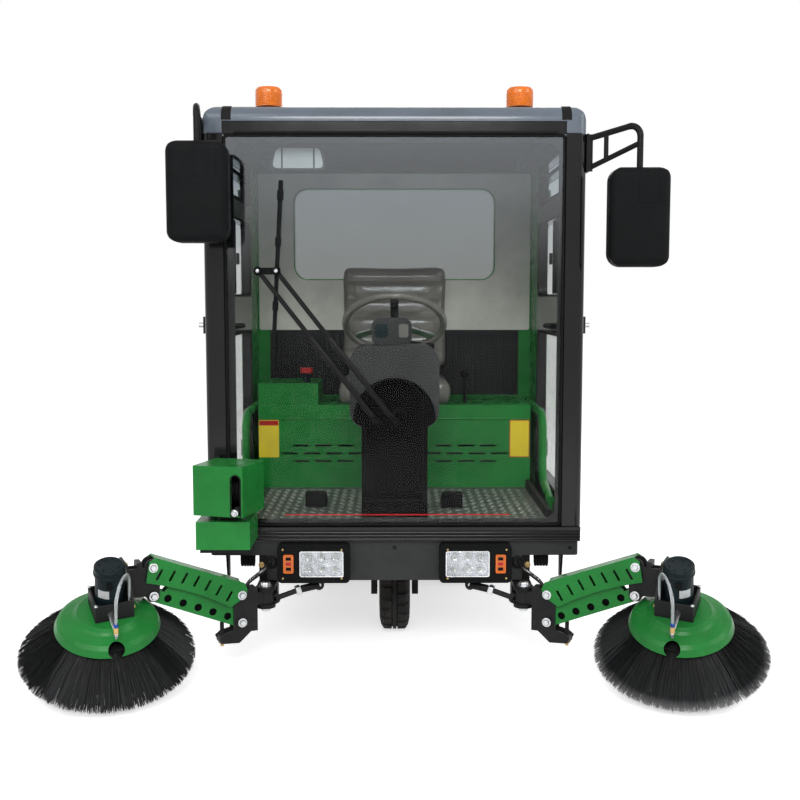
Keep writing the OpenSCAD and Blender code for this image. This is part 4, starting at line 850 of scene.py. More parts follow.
class SWEEPER_OT_tyres(bpy.types.Operator):
    """Cuts the lug tread into the tyres"""

    bl_idname = "sweeper.tyres"
    bl_label = "Tyre tread"

    def execute(self, context):
        settings = context.scene.sweeper_tread
        rim_r = 0.1023
        base = TYRE_R - settings.depth
        half = TYRE_HALF
        flank = [(rim_r, half - 0.016), (rim_r + 0.010, half - 0.004), (0.140, half), (0.165, half - 0.001),
                 (base - 0.012, half - 0.006), (base, half - 0.020)]
        carcass = [(r, -z) for r, z in flank] + flank[::-1] + [(rim_r, -half + 0.016)]
        rib = 0.007
        pitch = math.tau / settings.lugs
        fill = 0.74 * pitch
        for node, body in (("front_tyre", "front_wheel"), ("rear_tyre_left", "rear_wheel_left"),
                           ("rear_tyre_right", "rear_wheel_right")):
            low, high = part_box(node)
            place = moved((low + high) / 2) @ turned(90, "Y")
            form = Form()
            form.add(lathe(carcass, 40), "tyre_rubber", place)
            form.add(lathe([(base - 0.001, -rib), (TYRE_R - 0.0006, -rib), (TYRE_R - 0.0006, rib),
                            (base - 0.001, rib)], 40), "tyre_rubber", place)
            for k in (-1, 1):
                for i in range(settings.lugs):
                    a = pitch * (i + (0.25 if k > 0 else -0.25))
                    verts = []
                    for r, z, grow in ((base - 0.002, 0.010, 1.0), (TYRE_R, 0.012, 0.86),
                                       (TYRE_R - 0.001, half - 0.018, 0.9),
                                       (base - 0.010, half - 0.006, 1.0)):
                        for e in (-0.5, 0.5):
                            verts.append((*polar(r, a + e * fill * grow), k * z))
                    faces = [[0, 1, 3, 2], [2, 3, 5, 4], [4, 5, 7, 6], [0, 2, 4, 6], [1, 7, 5, 3]]
                    if k < 0:
                        faces = [f[::-1] for f in faces]
                    form.add((verts, faces), "tyre_rubber", place)
            form.piece(node + "_tread", body, "tyre", [node], sharp=30)
        return {"FINISHED"}


class SWEEPER_OT_wheel_nuts(bpy.types.Operator):
    """Puts hub caps and nuts on the rims"""

    bl_idname = "sweeper.wheel_nuts"
    bl_label = "Wheel nuts"

    def execute(self, context):
        for node, body, sides in (("front_rim", "front_wheel", (-1, 1)),
                                  ("rear_rim_left", "rear_wheel_left", (1,)),
                                  ("rear_rim_right", "rear_wheel_right", (-1,))):
            low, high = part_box(node)
            centre = (low + high) / 2
            form = Form()
            for k in sides:
                face = moved(centre) @ facing((0, 0, 0), (k, 0, 0))
                for i in range(5):
                    spot = moved((*polar(0.068, math.tau * (i + 0.5) / 5), 0.0078))
                    form.add(hex_head(0.0085, 0.011), "zinc", face @ spot)
                if node != "front_rim":
                    cap = [(0, 0), (0.034, 0), (0.036, 0.003), (0.035, 0.016), (0.028, 0.022), (0, 0.024)]
                    form.add(lathe(cap, 28), "black_paint", face @ moved((0, 0, 0.0492)))
            form.piece(node + "_nuts", body, "zinc")
        return {"FINISHED"}


# Cab


def pane_ring(x0, x1, z0, z1, width, r):
    """Outer and inner outlines of a frame round a pane, about its own middle."""
    w, h = x1 - x0, z1 - z0
    return outline(w + 2 * width, h + 2 * width, r + width), outline(w, h, r)


class SWEEPER_OT_windscreen(bpy.types.Operator):
    """Adds the dark border, rubber bead and thin line of the windscreen"""

    bl_idname = "sweeper.windscreen"
    bl_label = "Windscreen trim"

    def execute(self, context):
        glass_t = 0.006
        half = 0.5893
        z0, z1 = SILL_TOP + 0.0005, ROOF_BOTTOM - 0.0005
        middle = (z0 + z1) / 2
        form = Form()
        outer = outline(2 * half, z1 - z0, 0.004)
        clear = [(x + 0.006, y - 0.002) for x, y in outline(1.122, 1.310, 0.045)]
        upright = moved(at(0, glass_t + 0.0012, middle)) @ turned(90, "X")
        form.add(ring_plate(outer, clear, 0.001), "gloss_black", upright)
        bead = [at(x, -0.0035, middle + y) for x, y in outline(2 * half - 0.008, z1 - z0 - 0.008, 0.012, 4)]
        form.add(tube(bead, 0.0048, 8, closed=True), "black_rubber")
        line = block(0.797, 0.0008, 0.0042, 0.0003)
        form.add(line, "stripe", moved(at(0.0105, -0.0006, 0.5320)))
        form.piece("windscreen_trim", "chassis", "black_rubber")
        return {"FINISHED"}


def strap(path, half, rise):
    """A flat strip with sloped sides along a path of ((s, z), (out_s, out_z))."""
    verts, faces = [], []
    for (s, z), (out_s, out_z) in path:
        for x, up in ((-half, 0.0), (-0.85 * half, rise), (0.85 * half, rise), (half, 0.0)):
            verts.append(at(x, s + out_s * up, z + out_z * up))
    for i in range(len(path) - 1):
        faces += [[4 * i + j, 4 * i + 4 + j, 4 * i + 5 + j, 4 * i + 1 + j] for j in range(3)]
    return verts, faces


class SWEEPER_OT_roof(bpy.types.Operator):
    """Lays the straps, front lip and screws on the roof"""

    bl_idname = "sweeper.roof"
    bl_label = "Roof trim"

    def execute(self, context):
        form = Form()
        edge = 0.046
        nose = -0.015
        path = [((s, ROOF_TOP), (0, 1)) for s in (0.95, 0.60, 0.20, nose + edge)]
        for i in range(1, 8):
            a = math.radians(90 + 90 * i / 7)
            out = (math.cos(a), math.sin(a))
            path.append(((nose + edge + edge * out[0], ROOF_TOP - edge + edge * out[1]), out))
        path.append(((nose, ROOF_BOTTOM + edge), (-1, 0)))
        for x in (-0.575, 0.590):
            form.add(strap(path, 0.017, 0.0022), "black_rubber", moved((x, 0, 0)))
        lip = [at(x, -0.0115, ROOF_BOTTOM + 0.004) for x in (-0.55, -0.28, 0, 0.28, 0.56)]
        form.add(tube(lip, 0.0042, 8), "black_rubber")
        for x in (-0.30, 0.0, 0.30):
            for s in (0.35, 1.0):
                form.add(dome_head(0.009, 0.004), "zinc", moved(at(x, s, ROOF_TOP - 0.0002)))
        form.piece("roof_trim", "chassis", "black_rubber")
        return {"FINISHED"}


class SWEEPER_OT_doors(bpy.types.Operator):
    """Adds the seals, slider bars and handles of the doors"""

    bl_idname = "sweeper.doors"
    bl_label = "Door trim"

    def execute(self, context):
        s0, s1 = 0.113, 0.906
        panes = ((0.560, 1.150), (1.310, 1.600), (1.690, 1.775), (1.790, 1.832))
        out, inside = 0.658, 0.618
        for side, k in SIDES:
            form = Form()
            for x, way in ((-out, -1), (-inside, 1)):
                for z0, z1 in panes:
                    r = min(0.024, (z1 - z0) / 2 - 0.006)
                    rings = pane_ring(s0, s1, z0, z1, 0.009, r)
                    seal = facing(at(x, (s0 + s1) / 2, (z0 + z1) / 2), (way, 0, 0))
                    form.add(ring_plate(*rings, 0.0035), "black_rubber", mirrored(k) @ seal)
            slide0, slide1 = panes[1]
            bar = block(0.014, 0.034, slide1 - slide0 - 0.004, 0.003)
            for x, s in ((-0.628, 0.497), (-0.648, 0.523)):
                form.add(bar, "black_plastic", mirrored(k) @ moved(at(x, s, (slide0 + slide1) / 2)))
            catch = block(0.010, 0.030, 0.045, 0.003)
            form.add(catch, "black_plastic", mirrored(k) @ moved(at(-0.619, 0.545, 1.45)))
            grip = smooth_path([at(x, s, 1.19) for x, s in (
                (-0.617, 0.20), (-0.585, 0.21), (-0.580, 0.27), (-0.580, 0.36), (-0.585, 0.42),
                (-0.617, 0.43))], 6)
            form.add(tube(grip, 0.009, 10), "black_plastic", mirrored(k))
            recess = outline(0.150, 0.060, 0.012)
            dish = [(0.78 * x, 0.68 * y) for x, y in recess]
            handle = facing(at(-out, 0.205, 1.23), (-1, 0, 0))
            form.add(ring_plate(recess, dish, 0.005), "black_plastic", mirrored(k) @ handle)
            form.add(block(0.105, 0.030, 0.010, 0.004), "black_plastic",
                     mirrored(k) @ handle @ moved((0, 0.004, 0.005)))
            form.piece(f"door_trim_{side}", f"door_{side}", "black_rubber")
        return {"FINISHED"}


class SWEEPER_OT_front(bpy.types.Operator):
    """Builds the headlamps, their screws and the front's bolts"""

    bl_idname = "sweeper.front"
    bl_label = "Headlamps and front"

    def execute(self, context):
        lamp_x, lamp_z, w, h = 0.256, 0.368, 0.1532, 0.0912
        house_x = 0.284
        lamps, fittings = Form(), Form()
        for k in (-1, 1):
            face = front(k * lamp_x, -0.0265, lamp_z)
            lamps.add(prism(outline(w, h, 0.007), 0.020), "reflector", face)
            bowl = [(0, 0.0004), (0.006, 0.0006), (0.011, 0.003), (0.015, 0.008), (0.0165, 0.008),
                    (0.0165, 0.0)]
            diode = [(0.0048, 0), (0.0045, 0.003), (0.003, 0.005), (0, 0.0058)]
            for i in (-1, 0, 1):
                for j in (-1, 1):
                    spot = face @ moved((0.046 * i, 0.021 * j, 0.0202))
                    lamps.add(lathe(bowl, 20), "reflector", spot)
                    lamps.add(lathe(diode, 12), "led", spot)
            rim = ring_plate(outline(w, h, 0.007), outline(w - 0.006, h - 0.006, 0.005), 0.016)
            lamps.add(rim, "reflector", face @ moved((0, 0, 0.019)))
            lamps.add(prism(outline(w - 0.0065, h - 0.0065, 0.005), 0.003), "clear_lens",
                      face @ moved((0, 0, 0.0305)))
            for x in (-0.098, 0.108):
                for z in (-0.052, 0.050):
                    fittings.add(dome_head(0.0040, 0.003), "brass",
                                 front(k * (house_x + x), -0.055, lamp_z + z))
            lip = ring_plate(outline(0.250, 0.134, 0.016), outline(0.240, 0.124, 0.013), 0.0022)
            fittings.add(lip, "black_plastic", front(k * house_x, -0.0549, lamp_z))
            grommet = lathe([(0.012, 0.004), (0.016, 0.008), (0.022, 0.006), (0.024, 0), (0.010, -0.001)], 24)
            fittings.add(grommet, "black_rubber", front(k * 0.4365, -0.018, 0.365))
        lamps.piece("headlamp_units", "chassis", "clear_lens", ["headlamps"])
        for x in (-0.62, -0.31, 0.0, 0.31, 0.62):
            fittings.add(dome_head(0.007, 0.004), "black_paint", front(x, -0.018, 0.418))
        fittings.piece("front_fittings", "chassis", "black_plastic")
        return {"FINISHED"}


class SWEEPER_OT_amber_lamps(bpy.types.Operator):
    """Builds the roof beacons, indicators and side reflectors"""

    bl_idname = "sweeper.amber_lamps"
    bl_label = "Beacons and indicators"

    def execute(self, context):
        form = Form()
        for k in (-1, 1):
            roof = moved(at(k * 0.442, 0.120, ROOF_TOP))
            base = [(0, 0), (0.050, 0), (0.0505, 0.003), (0.0500, 0.012), (0.047, 0.014), (0, 0.014)]
            form.add(lathe(base, 40), "black_plastic", roof)
            dome = [(0.0490, 0.0125)]
            for i in range(9):
                z = 0.014 + 0.0055 * i
                dome += [(0.0482, z), (0.0472, z + 0.0028)]
            dome += [(0.0478, 0.066), (0.0465, 0.073), (0.041, 0.0795), (0.030, 0.0815), (0, 0.0818)]
            form.add(lathe(dome, 40), "amber_lens", roof)
            inner = [(0, 0.015), (0.026, 0.015), (0.026, 0.050), (0.018, 0.060), (0, 0.062)]
            form.add(lathe(inner, 20), "reflector", roof)
            face = front(k * 0.372, -0.0265, 0.368)
            shell = outline(0.0354, 0.0654, 0.005)
            form.add(prism(shell, 0.030), "amber_lens", face)
            form.add(ring_plate(shell, outline(0.029, 0.059, 0.004), 0.0045), "amber_lens",
                     face @ moved((0, 0, 0.030)))
            for j in (-1, 0, 1):
                form.add(block(0.018, 0.011, 0.004, 0.0015), "red_paint" if j == 0 else "black_plastic",
                         face @ moved((0, 0.018 * j, 0.0315)))
            side = facing(at(k * 0.640, 1.099, 0.389), (k, 0, 0))
            form.add(prism(outline(0.070, 0.034, 0.006), 0.0045), "amber_lens", side)
            for i in range(5):
                form.add(block(0.062, 0.0036, 0.002, 0.0008), "amber_lens",
                         side @ moved((0, -0.0116 + 0.0058 * i, 0.0050)))
        form.piece("amber_lamp_units", "chassis", "amber_lens", ["amber_lamps"])
        return {"FINISHED"}


class SWEEPER_OT_mirrors(bpy.types.Operator):
    """Sets the mirror glass and pressed lines into the mirror heads, and hangs the mirror in the cab"""

    bl_idname = "sweeper.mirrors"
    bl_label = "Mirrors"

    def execute(self, context):
        form = Form()
        reach = 0.190
        for k, swung, z in ((1, math.radians(39), 1.565), (-1, math.radians(98), 1.642)):
            centre = at(k * (CAB_HALF + 0.011 + reach * math.cos(swung)), -reach * math.sin(swung), z)
            back = facing(centre + Vector((0, 0.035, 0)), (0, 1, 0))
            pane = outline(0.172, 0.298, 0.030)
            form.add(prism(pane, 0.0012), "mirror_silver", back)
            form.add(ring_plate(outline(0.186, 0.312, 0.037), pane, 0.005), "black_plastic", back)
            nose = facing(centre - Vector((0, 0.035, 0)), (0, -1, 0))
            for x, y, w, h in ((-0.006, 0.090, 0.0022, 0.085), (0.066, 0.090, 0.0022, 0.085),
                               (0.030, 0.048, 0.074, 0.0022)):
                form.add(block(w, h, 0.0016, 0.0006), "black_plastic", nose @ moved((x, y, 0)))
        form.piece("mirror_trim", "chassis", "black_plastic")
        inner = Form()
        shell = [(x * (0.92 - 1.95 * y), y) for x, y in outline(0.202, 0.082, 0.020)]
        panel = [(0.9 * x, 0.84 * y) for x, y in shell]
        x, z = -0.338, 1.784
        spot = front(x, 0.094, z)
        inner.add(prism(shell, 0.016), "charcoal_plastic", spot)
        inner.add(prism(panel, 0.003), "pale_lining", spot @ moved((0, 0, 0.0158)))
        inner.add(prism(panel, 0.001), "mirror_silver", facing(at(x, 0.0938, z), (0, 1, 0)))
        for size, place in (((0.006, 0.068, 0.004, 0.001), (-0.056, 0, 0.018)),
                            ((0.006, 0.068, 0.004, 0.001), (0.056, 0, 0.018)),
                            ((0.044, 0.014, 0.012, 0.003), (0, 0.038, 0.012))):
            inner.add(block(*size), "charcoal_plastic", spot @ moved(place))
        stem = [at(x, 0.086, h) for h in (1.820, 1.838, ROOF_BOTTOM)]
        inner.add(tube(stem, 0.007, 12), "black_plastic")
        foot = [(0, 0), (0.026, 0), (0.026, 0.003), (0.018, 0.007), (0, 0.007)]
        inner.add(lathe(foot, 24), "black_plastic", facing(stem[-1], (0, 0, -1), (0, 1, 0)))
        inner.piece("inner_mirror", "chassis", "black_plastic")
        return {"FINISHED"}


class SWEEPER_OT_wiper(bpy.types.Operator):
    """Adds the wiper's rubber, clips, pivot caps and arm ribs"""

    bl_idname = "sweeper.wiper"
    bl_label = "Wiper"

    def execute(self, context):
        drive, guide = (-0.062, 0.867), (0.001, 0.867)
        angle = math.radians(128)
        length = 0.662
        caps, blade = Form(), Form()
        cap = [(0, 0), (0.015, 0), (0.0155, 0.003), (0.012, 0.010), (0.008, 0.012), (0, 0.013)]
        for x, z in (drive, guide):
            caps.add(lathe(cap, 20), "black_plastic", front(x, -0.0422, z))
        caps.piece("wiper_pivot_caps", "chassis", "black_plastic")
        pins = [(x + length * math.cos(angle), z + length * math.sin(angle)) for x, z in (drive, guide)]
        lean = turned(3, "Y")
        spine = moved(at(pins[1][0], 0, pins[1][1])) @ lean
        rubber = [(-0.0015, -0.0052), (-0.0005, -0.0006), (0.0005, -0.0006), (0.0015, -0.0052)]
        blade.add(prism(rubber, 0.650), "black_rubber", spine @ moved((0, 0, -0.345)))
        for z in (-0.29, -0.12, 0.10, 0.26):
            blade.add(block(0.020, 0.013, 0.034, 0.003), "black_plastic",
                      spine @ moved((0, -0.0128, z)))
        for x, z in pins:
            blade.add(lathe(cap, 20), "black_plastic", front(x, -0.0362, z))
            blade.add(hex_head(0.0042, 0.005), "zinc", front(x, -0.0486, z))
        blade.piece("wiper_rubber", "wiper", "black_rubber")
        for (x, z), name in ((drive, "wiper_drive"), (guide, "wiper_guide")):
            form = Form()
            direction = Vector((math.cos(angle), 0, math.sin(angle)))
            start = at(x, -0.0335, z)
            rod = [start + direction * d for d in (0.02, 0.15, 0.30, 0.45, 0.63)]
            form.add(tube(rod, 0.0045, 8), "black_paint")
            sleeve = facing(start + direction * 0.20, direction, (0, 1, 0))
            form.add(block(0.019, 0.013, 0.340, 0.004), "black_paint", sleeve)
            form.piece(name + "_rib", name, "black_paint")
        return {"FINISHED"}


# Driver's place


def cushion(w, d, h, sag, channels, rows):
    """A crowned pad with pulled-in sides and sewn channels across it, standing on z = 0."""
    nx, ny = 40, 30
    verts, faces, index = [], [], {}

    def spot(u, v, top):
        x, y = 2 * u - 1, 2 * v - 1
        pull = 1 - sag * (1 - abs(x) ** 2) * abs(y) ** 6
        pull_x = 1 - sag * (1 - abs(y) ** 2) * abs(x) ** 6
        corner = 1 - 0.10 * (abs(x) * abs(y)) ** 8
        px, py = x * w / 2 * pull_x * corner, y * d / 2 * pull * corner
        edge = max(abs(x), abs(y))
        crown = (1 - edge ** 5) ** 0.5
        if not top:
            return px, py, h * 0.42 * (1 - min(1.0, crown * 1.6))
        z = h * (0.42 + 0.58 * crown)
        for where, half, count in ((x, w / 2, channels), (y, d / 2, rows)):
            for c in range(1, count):
                groove = abs(where - (2 * c / count - 1)) * half
                z -= 0.011 * math.exp(-(groove / 0.008) ** 2) * min(1, 2 * crown)
        return px, py, z

    for top in (True, False):
        for i in range(nx + 1):
            for j in range(ny + 1):
                rim = i in (0, nx) or j in (0, ny)
                key = (i, j, True if rim else top)
                if key not in index:
                    index[key] = len(verts)
                    verts.append(spot(i / nx, j / ny, top))
    for top in (True, False):
        for i in range(nx):
            for j in range(ny):
                ring = []
                for a, b in ((i, j), (i + 1, j), (i + 1, j + 1), (i, j + 1)):
                    rim = a in (0, nx) or b in (0, ny)
                    ring.append(index[(a, b, True if rim else top)])
                faces.append(ring if top else ring[::-1])
    return verts, faces


class SWEEPER_OT_seat(bpy.types.Operator):
    """Sews the seat cushion and backrest"""

    bl_idname = "sweeper.seat"
    bl_label = "Seat"

    def execute(self, context):
        low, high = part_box("seat_cushion")
        w, d, h = high - low
        base = Form()
        base.add(cushion(w, d, h, 0.05, 5, 1), "seat_vinyl",
                 moved(((low.x + high.x) / 2, (low.y + high.y) / 2, low.z)))
        pad = base.piece("seat_cushion_pad", "chassis", "seat_vinyl", ["seat_cushion"], sharp=60)
        self.soften(pad)
        low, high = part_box("seat_backrest")
        lean = math.radians(5)
        back = Form()
        height = (high.z - low.z) - 0.004
        thick = (high.y - low.y) - height * math.sin(lean)
        turn = Matrix.Rotation(-lean, 4, "X") @ turned(90, "X")
        spot = moved((0, high.y - 0.5 * height * math.sin(lean) + 0.002, (low.z + high.z) / 2))
        back.add(cushion(high.x - low.x, height, thick, 0.05, 1, 6), "seat_vinyl", spot @ turn)
        rest = back.piece("seat_backrest_pad", "chassis", "seat_vinyl", ["seat_backrest"], sharp=60)
        self.soften(rest)
        return {"FINISHED"}

    @staticmethod
    def soften(pad):
        pad.modifiers.new("soft", "SUBSURF").levels = 1
        pad.modifiers["soft"].render_levels = 1


class SWEEPER_OT_cab_floor(bpy.types.Operator):
    """Raises the chequer pattern of the floor plate and lays the rubber edge"""

    bl_idname = "sweeper.cab_floor"
    bl_label = "Cab floor"

    def execute(self, context):
        form = Form()
        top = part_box("floor_pan")[1].z
        lozenge = [(0.015, 0), (0.006, 0.0042), (-0.006, 0.0042), (-0.015, 0), (-0.006, -0.0042),
                   (0.006, -0.0042)]
        verts = [(x, y, 0) for x, y in lozenge] + [(0.72 * x, 0.6 * y, 0.0024) for x, y in lozenge]
        faces = [list(range(6, 12))] + [[i, (i + 1) % 6, 6 + (i + 1) % 6, 6 + i] for i in range(6)]
        pitch = 0.034
        rows = int(0.62 / pitch)
        for i in range(-16, 17):
            for j in range(rows):
                x, s = i * pitch, 0.085 + (j + 0.5) * pitch
                if abs(x) > 0.555 or (abs(x) < 0.13 and 0.10 < s < 0.34):
                    continue
                turn = turned(45 if (i + j) % 2 else -45, "Z")
                form.add((verts, faces), "chequer", moved(at(x, s, top)) @ turn)
        for k in (-1, 1):
            strip = [(0, 0), (0.020, 0), (0.020, 0.030), (0.012, 0.036), (0.002, 0.034)]
            form.add(prism(strip, 0.66), "black_rubber",
                     mirrored(k) @ moved(at(0.549, 0.075, top)) @ facing((0, 0, 0), (0, 1, 0))
                     @ Matrix.Scale(-1, 4, (1, 0, 0)))
        form.piece("floor_chequer", "chassis", "floor_plate")
        return {"FINISHED"}


class SWEEPER_OT_seat_box(bpy.types.Operator):
    """Adds the seat box's folded lip and blank plates, and lines the rear wall"""

    bl_idname = "sweeper.seat_box"
    bl_label = "Seat box trim"

    def execute(self, context):
        low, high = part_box("seat_box")
        front_y = low.y
        form = Form()
        lip = smooth_path([(x, front_y - 0.0005, 0.790) for x in (-0.560, -0.28, 0, 0.28, 0.560)], 3)
        form.add(tube(lip, 0.0045, 8), "green_paint")
        w, h = 0.084, 0.158
        plate = outline(w, h, 0.004)
        band = prism(outline(w - 0.004, 0.020, 0.002), 0.0008), moved((0, h / 2 - 0.013, 0.0008))
        border = ring_plate(plate, outline(w - 0.006, h - 0.006, 0.003), 0.0006), moved((0, 0, 0.0010))
        for x, (mark, place) in ((-0.527, band), (0.525, border)):
            spot = facing((x, front_y - 0.0002, 0.707), (0, -1, 0))
            form.add(prism(plate, 0.0012), "yellow_plate", spot)
            form.add(mark, "red_paint", spot @ place)
        form.piece("seat_box_trim", "chassis", "green_paint")
        wall = Form()
        wall_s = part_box("cab_rear_wall")[1].y - 0.035
        z0, z1 = high.z - 0.085, 1.150
        wall.add(block(1.130, 0.006, z1 - z0, 0.002), "lining",
                 moved((0, wall_s - 0.0035, (z0 + z1) / 2)))
        for i in range(-22, 23):
            wall.add(block(0.012, 0.010, z1 - z0 - 0.03, 0.004), "lining",
                     moved((i * 0.025, wall_s - 0.009, (z0 + z1) / 2)))
        top = ROOF_BOTTOM - 0.006
        middle = (z1 + top) / 2
        inner = [(x, y + ROOF_BOTTOM - 0.276 - middle) for x, y in outline(0.91, 0.41, 0.062)]
        wall.add(ring_plate(outline(1.226, top - z1, 0.010), inner, 0.007), "pale_lining",
                 facing((0, wall_s, middle), (0, -1, 0)))
        wall.piece("rear_lining", "chassis", "black_plastic")
        return {"FINISHED"}


class SWEEPER_OT_dash(bpy.types.Operator):
    """Fits the dials, pod panels with a pale one as a painted highlight, a painted shade sheet in the arch,
    column sleeve, lever and pedal pads
    """

    bl_idname = "sweeper.dash"
    bl_label = "Dash and pedals"

    def execute(self, context):
        form = Form()
        column = column_place()
        boot = [(0.036, -0.230), (0.046, -0.205)]
        for i in range(5):
            z = -0.195 + 0.014 * i
            boot += [(0.046 - 0.001 * i, z), (0.041 - 0.001 * i, z + 0.007)]
        boot += [(0.036, -0.12), (0.035, -0.045)]
        form.add(lathe(boot, 28), "black_rubber", column)
        stalk = smooth_path([at(0.030, 0.365, 1.125), at(0.080, 0.360, 1.125), at(0.128, 0.350, 1.112)], 5)
        form.add(tube(stalk, 0.006, 10), "black_plastic")
        knob = facing(at(0.130, 0.350, 1.112), (1, 0, -0.1))
        form.add(lathe([(0, -0.012), (0.013, -0.010), (0.016, 0.004), (0.013, 0.020), (0, 0.024)], 18),
                 "black_plastic", knob)
        # The pale right panel stands in for a silver highlight on the pod: painted highlight
        for x, w, finish in ((0.034, 0.036, "seat_vinyl"), (-0.049, 0.050, "motor_paint")):
            form.add(prism(outline(w, 0.050, 0.010), 0.002), finish, front(x, 0.2702, 1.174))
        # Painted shade: a near-black sheet in the console's arch, where the recess lies in shade
        arc = [math.pi * i / 24 for i in range(25)]
        foot = [(0.106, 0.833), (0.118, 0.833), (0.139, 0.844)]
        arch = foot + [(x, 0.860 + z) for x, z in (polar(0.150, a) for a in arc)]
        arch += [(-x, z) for x, z in foot[::-1]]
        arch += [(x, 0.900 + z) for x, z in (polar(0.106, a) for a in arc[::-1])]
        form.add(prism(arch, 0.0012), "black_void", front(0, 0.1102, 0))
        for x in (-0.045, 0.025):
            dial = facing(at(x, 0.3605, 1.175), (0, 1, 0))
            form.add(lathe([(0, 0.001), (0.026, 0.001), (0.028, 0.005), (0.031, 0.004), (0.032, 0)], 28),
                     "black_plastic", dial)
            form.add(lathe([(0, 0.0022), (0.025, 0.0018)], 24), "grey_plate", dial)
        slope = turned(-22.6, "X")
        for x, s in ((-0.300, 0.300), (0.219, 0.288)):
            for i in range(5):
                spot = at(x, s + 0.012 + 0.022 * i, 0.500 + 0.0582 - 0.00917 * i + 0.002)
                form.add(block(0.070, 0.007, 0.005, 0.0018), "black_rubber", moved(spot) @ slope)
        form.piece("dash_fittings", "chassis", "black_plastic")
        wheel = Form()
        wheel.add(lathe([(0, 0.020), (0.012, 0.0195), (0.024, 0.016), (0.030, 0.010), (0.031, 0.006)], 28),
                  "black_plastic", column)
        bead = [column @ Vector((*polar(0.185, math.tau * i / 48), 0.0105)) for i in range(48)]
        wheel.add(tube(bead, 0.0052, 6, closed=True), "seat_vinyl")
        wheel.piece("steering_wheel_trim", "hand_wheel", "black_plastic")
        return {"FINISHED"}


# Brush arms


class SWEEPER_OT_arm_bolts(bpy.types.Operator):
    """Bolts the links, knuckles and cradles together and sets painted shade sheets in the lower links"""

    bl_idname = "sweeper.arm_bolts"
    bl_label = "Arm bolts"

    def execute(self, context):
        run = LINK_LEN * math.cos(ARM_LIFT)
        rise = LINK_LEN * math.sin(ARM_LIFT)
        ears = 0.037
        pivot = (-0.450, -0.078)
        ring = [(0.008, -0.009), (0.017, -0.009), (0.018, -0.006), (0.018, 0.006), (0.017, 0.009),
                (0.008, 0.009), (0.008, -0.009)]
        for side, k in SIDES:
            place = arm_place(k)
            for body, x, lift in ((f"swing_{side}", 0.0, 0.0), (f"brush_head_{side}", run, rise)):
                form = Form()
                for z, out in ((PIN_HEIGHTS[0] + lift, 0.0272), (PIN_HEIGHTS[1] + lift, 0.0372)):
                    for way in (-1, 1):
                        if out < 0.03:
                            sleeve = [(0.0085, 0), (0.0125, 0), (0.0125, ears - out), (0.0085, ears - out)]
                            form.add(lathe(sleeve, 20), "zinc",
                                     place @ facing((x, way * out, z), (0, way, 0)))
                        form.add(hex_head(0.0112, 0.0105), "zinc",
                                 place @ facing((x, way * ears, z), (0, way, 0)))
                if lift == 0.0:
                    form.add(hex_head(0.0095, 0.008), "brass",
                             place @ facing((0.062, 0, 0.1195), (0, 0, -1), (0, 1, 0)))
                    form.add(lathe([(0, -0.010), (0.006, -0.010), (0.006, 0.004)], 12), "brass",
                             place @ moved((0.062, 0, 0.114)))
                    for z in (0.176, 0.294):
                        form.add(hex_head(0.0065, 0.006), "charcoal_paint",
                                 place @ facing((-0.046, 0.0272, z), (0, 1, 0)))
                form.piece(f"arm_bolts_{body}", body, "zinc")
            knuckle = Form()
            knuckle.add(hex_head(0.017, 0.014), "zinc", mirrored(k) @ moved(at(*pivot, 0.296)))
            low = mirrored(k) @ facing(at(*pivot, 0.222), (0, 0, -1), (0, 1, 0))
            knuckle.add(hex_head(0.017, 0.014), "zinc", low)
            for x in (-0.474, -0.426):
                knuckle.add(hex_head(0.0075, 0.006), "brass", mirrored(k) @ front(x, 0.006, 0.350))
            strut = [at(-0.268, -0.012, 0.282), at(-0.330, -0.030, 0.272), at(-0.418, -0.058, 0.246)]
            knuckle.add(tube(strut[:2], 0.0135, 14), "black_paint", mirrored(k))
            knuckle.add(tube(strut[1:], 0.0095, 12), "charcoal_paint", mirrored(k))
            clamp = facing(strut[1].lerp(strut[2], 0.12), strut[2] - strut[1])
            knuckle.add(block(0.034, 0.030, 0.020, 0.004), "zinc", mirrored(k) @ clamp)
            for spot in (strut[0], strut[2]):
                knuckle.add(lathe(ring, 20), "charcoal_paint", mirrored(k) @ facing(spot, (0, -1, 0)))
            knuckle.piece(f"knuckle_{side}", "chassis", "zinc")
            # Painted shade: near-black sheets inside the lower links, so that their holes show shade
            shade_sheets = Form()
            link = place @ moved((0, 0, PIN_HEIGHTS[0])) @ Matrix.Rotation(-ARM_LIFT, 4, "Y")
            for way in (-1, 1):
                sheet = facing((LINK_LEN / 2, way * 0.0156, 0.003), (0, -way, 0))
                shade_sheets.add(prism(outline(0.262, 0.038, 0.012), 0.0015), "black_void", link @ sheet)
            shade_sheets.piece(f"link_shade_sheet_{side}", f"lower_link_{side}", "black_rubber")
        return {"FINISHED"}


HOSE_ENDS = ((-0.060, 0.042, 0), (0.005, 0.147, 0))


def spray_route():
    """Middle line of a spray hose in its brush's frame: up, over the motor and down to the nozzle."""
    start, end = Vector(HOSE_ENDS[0]), Vector(HOSE_ENDS[1])
    bend, bend_h = 0.058, 0.312
    reach = (end - start).length
    across = (end - start) / reach
    route = [(0.0, 0.228), (0.0, 0.270)]
    for centre, first in ((bend, 180), (reach - bend, 90)):
        for i in range(9):
            x, h = polar(bend, math.radians(first - 90 * i / 8))
            route.append((centre + x, bend_h + h))
    route += [(reach, 0.270), (reach, 0.232)]
    return [start + across * along + Vector((0, 0, h)) for along, h in route]


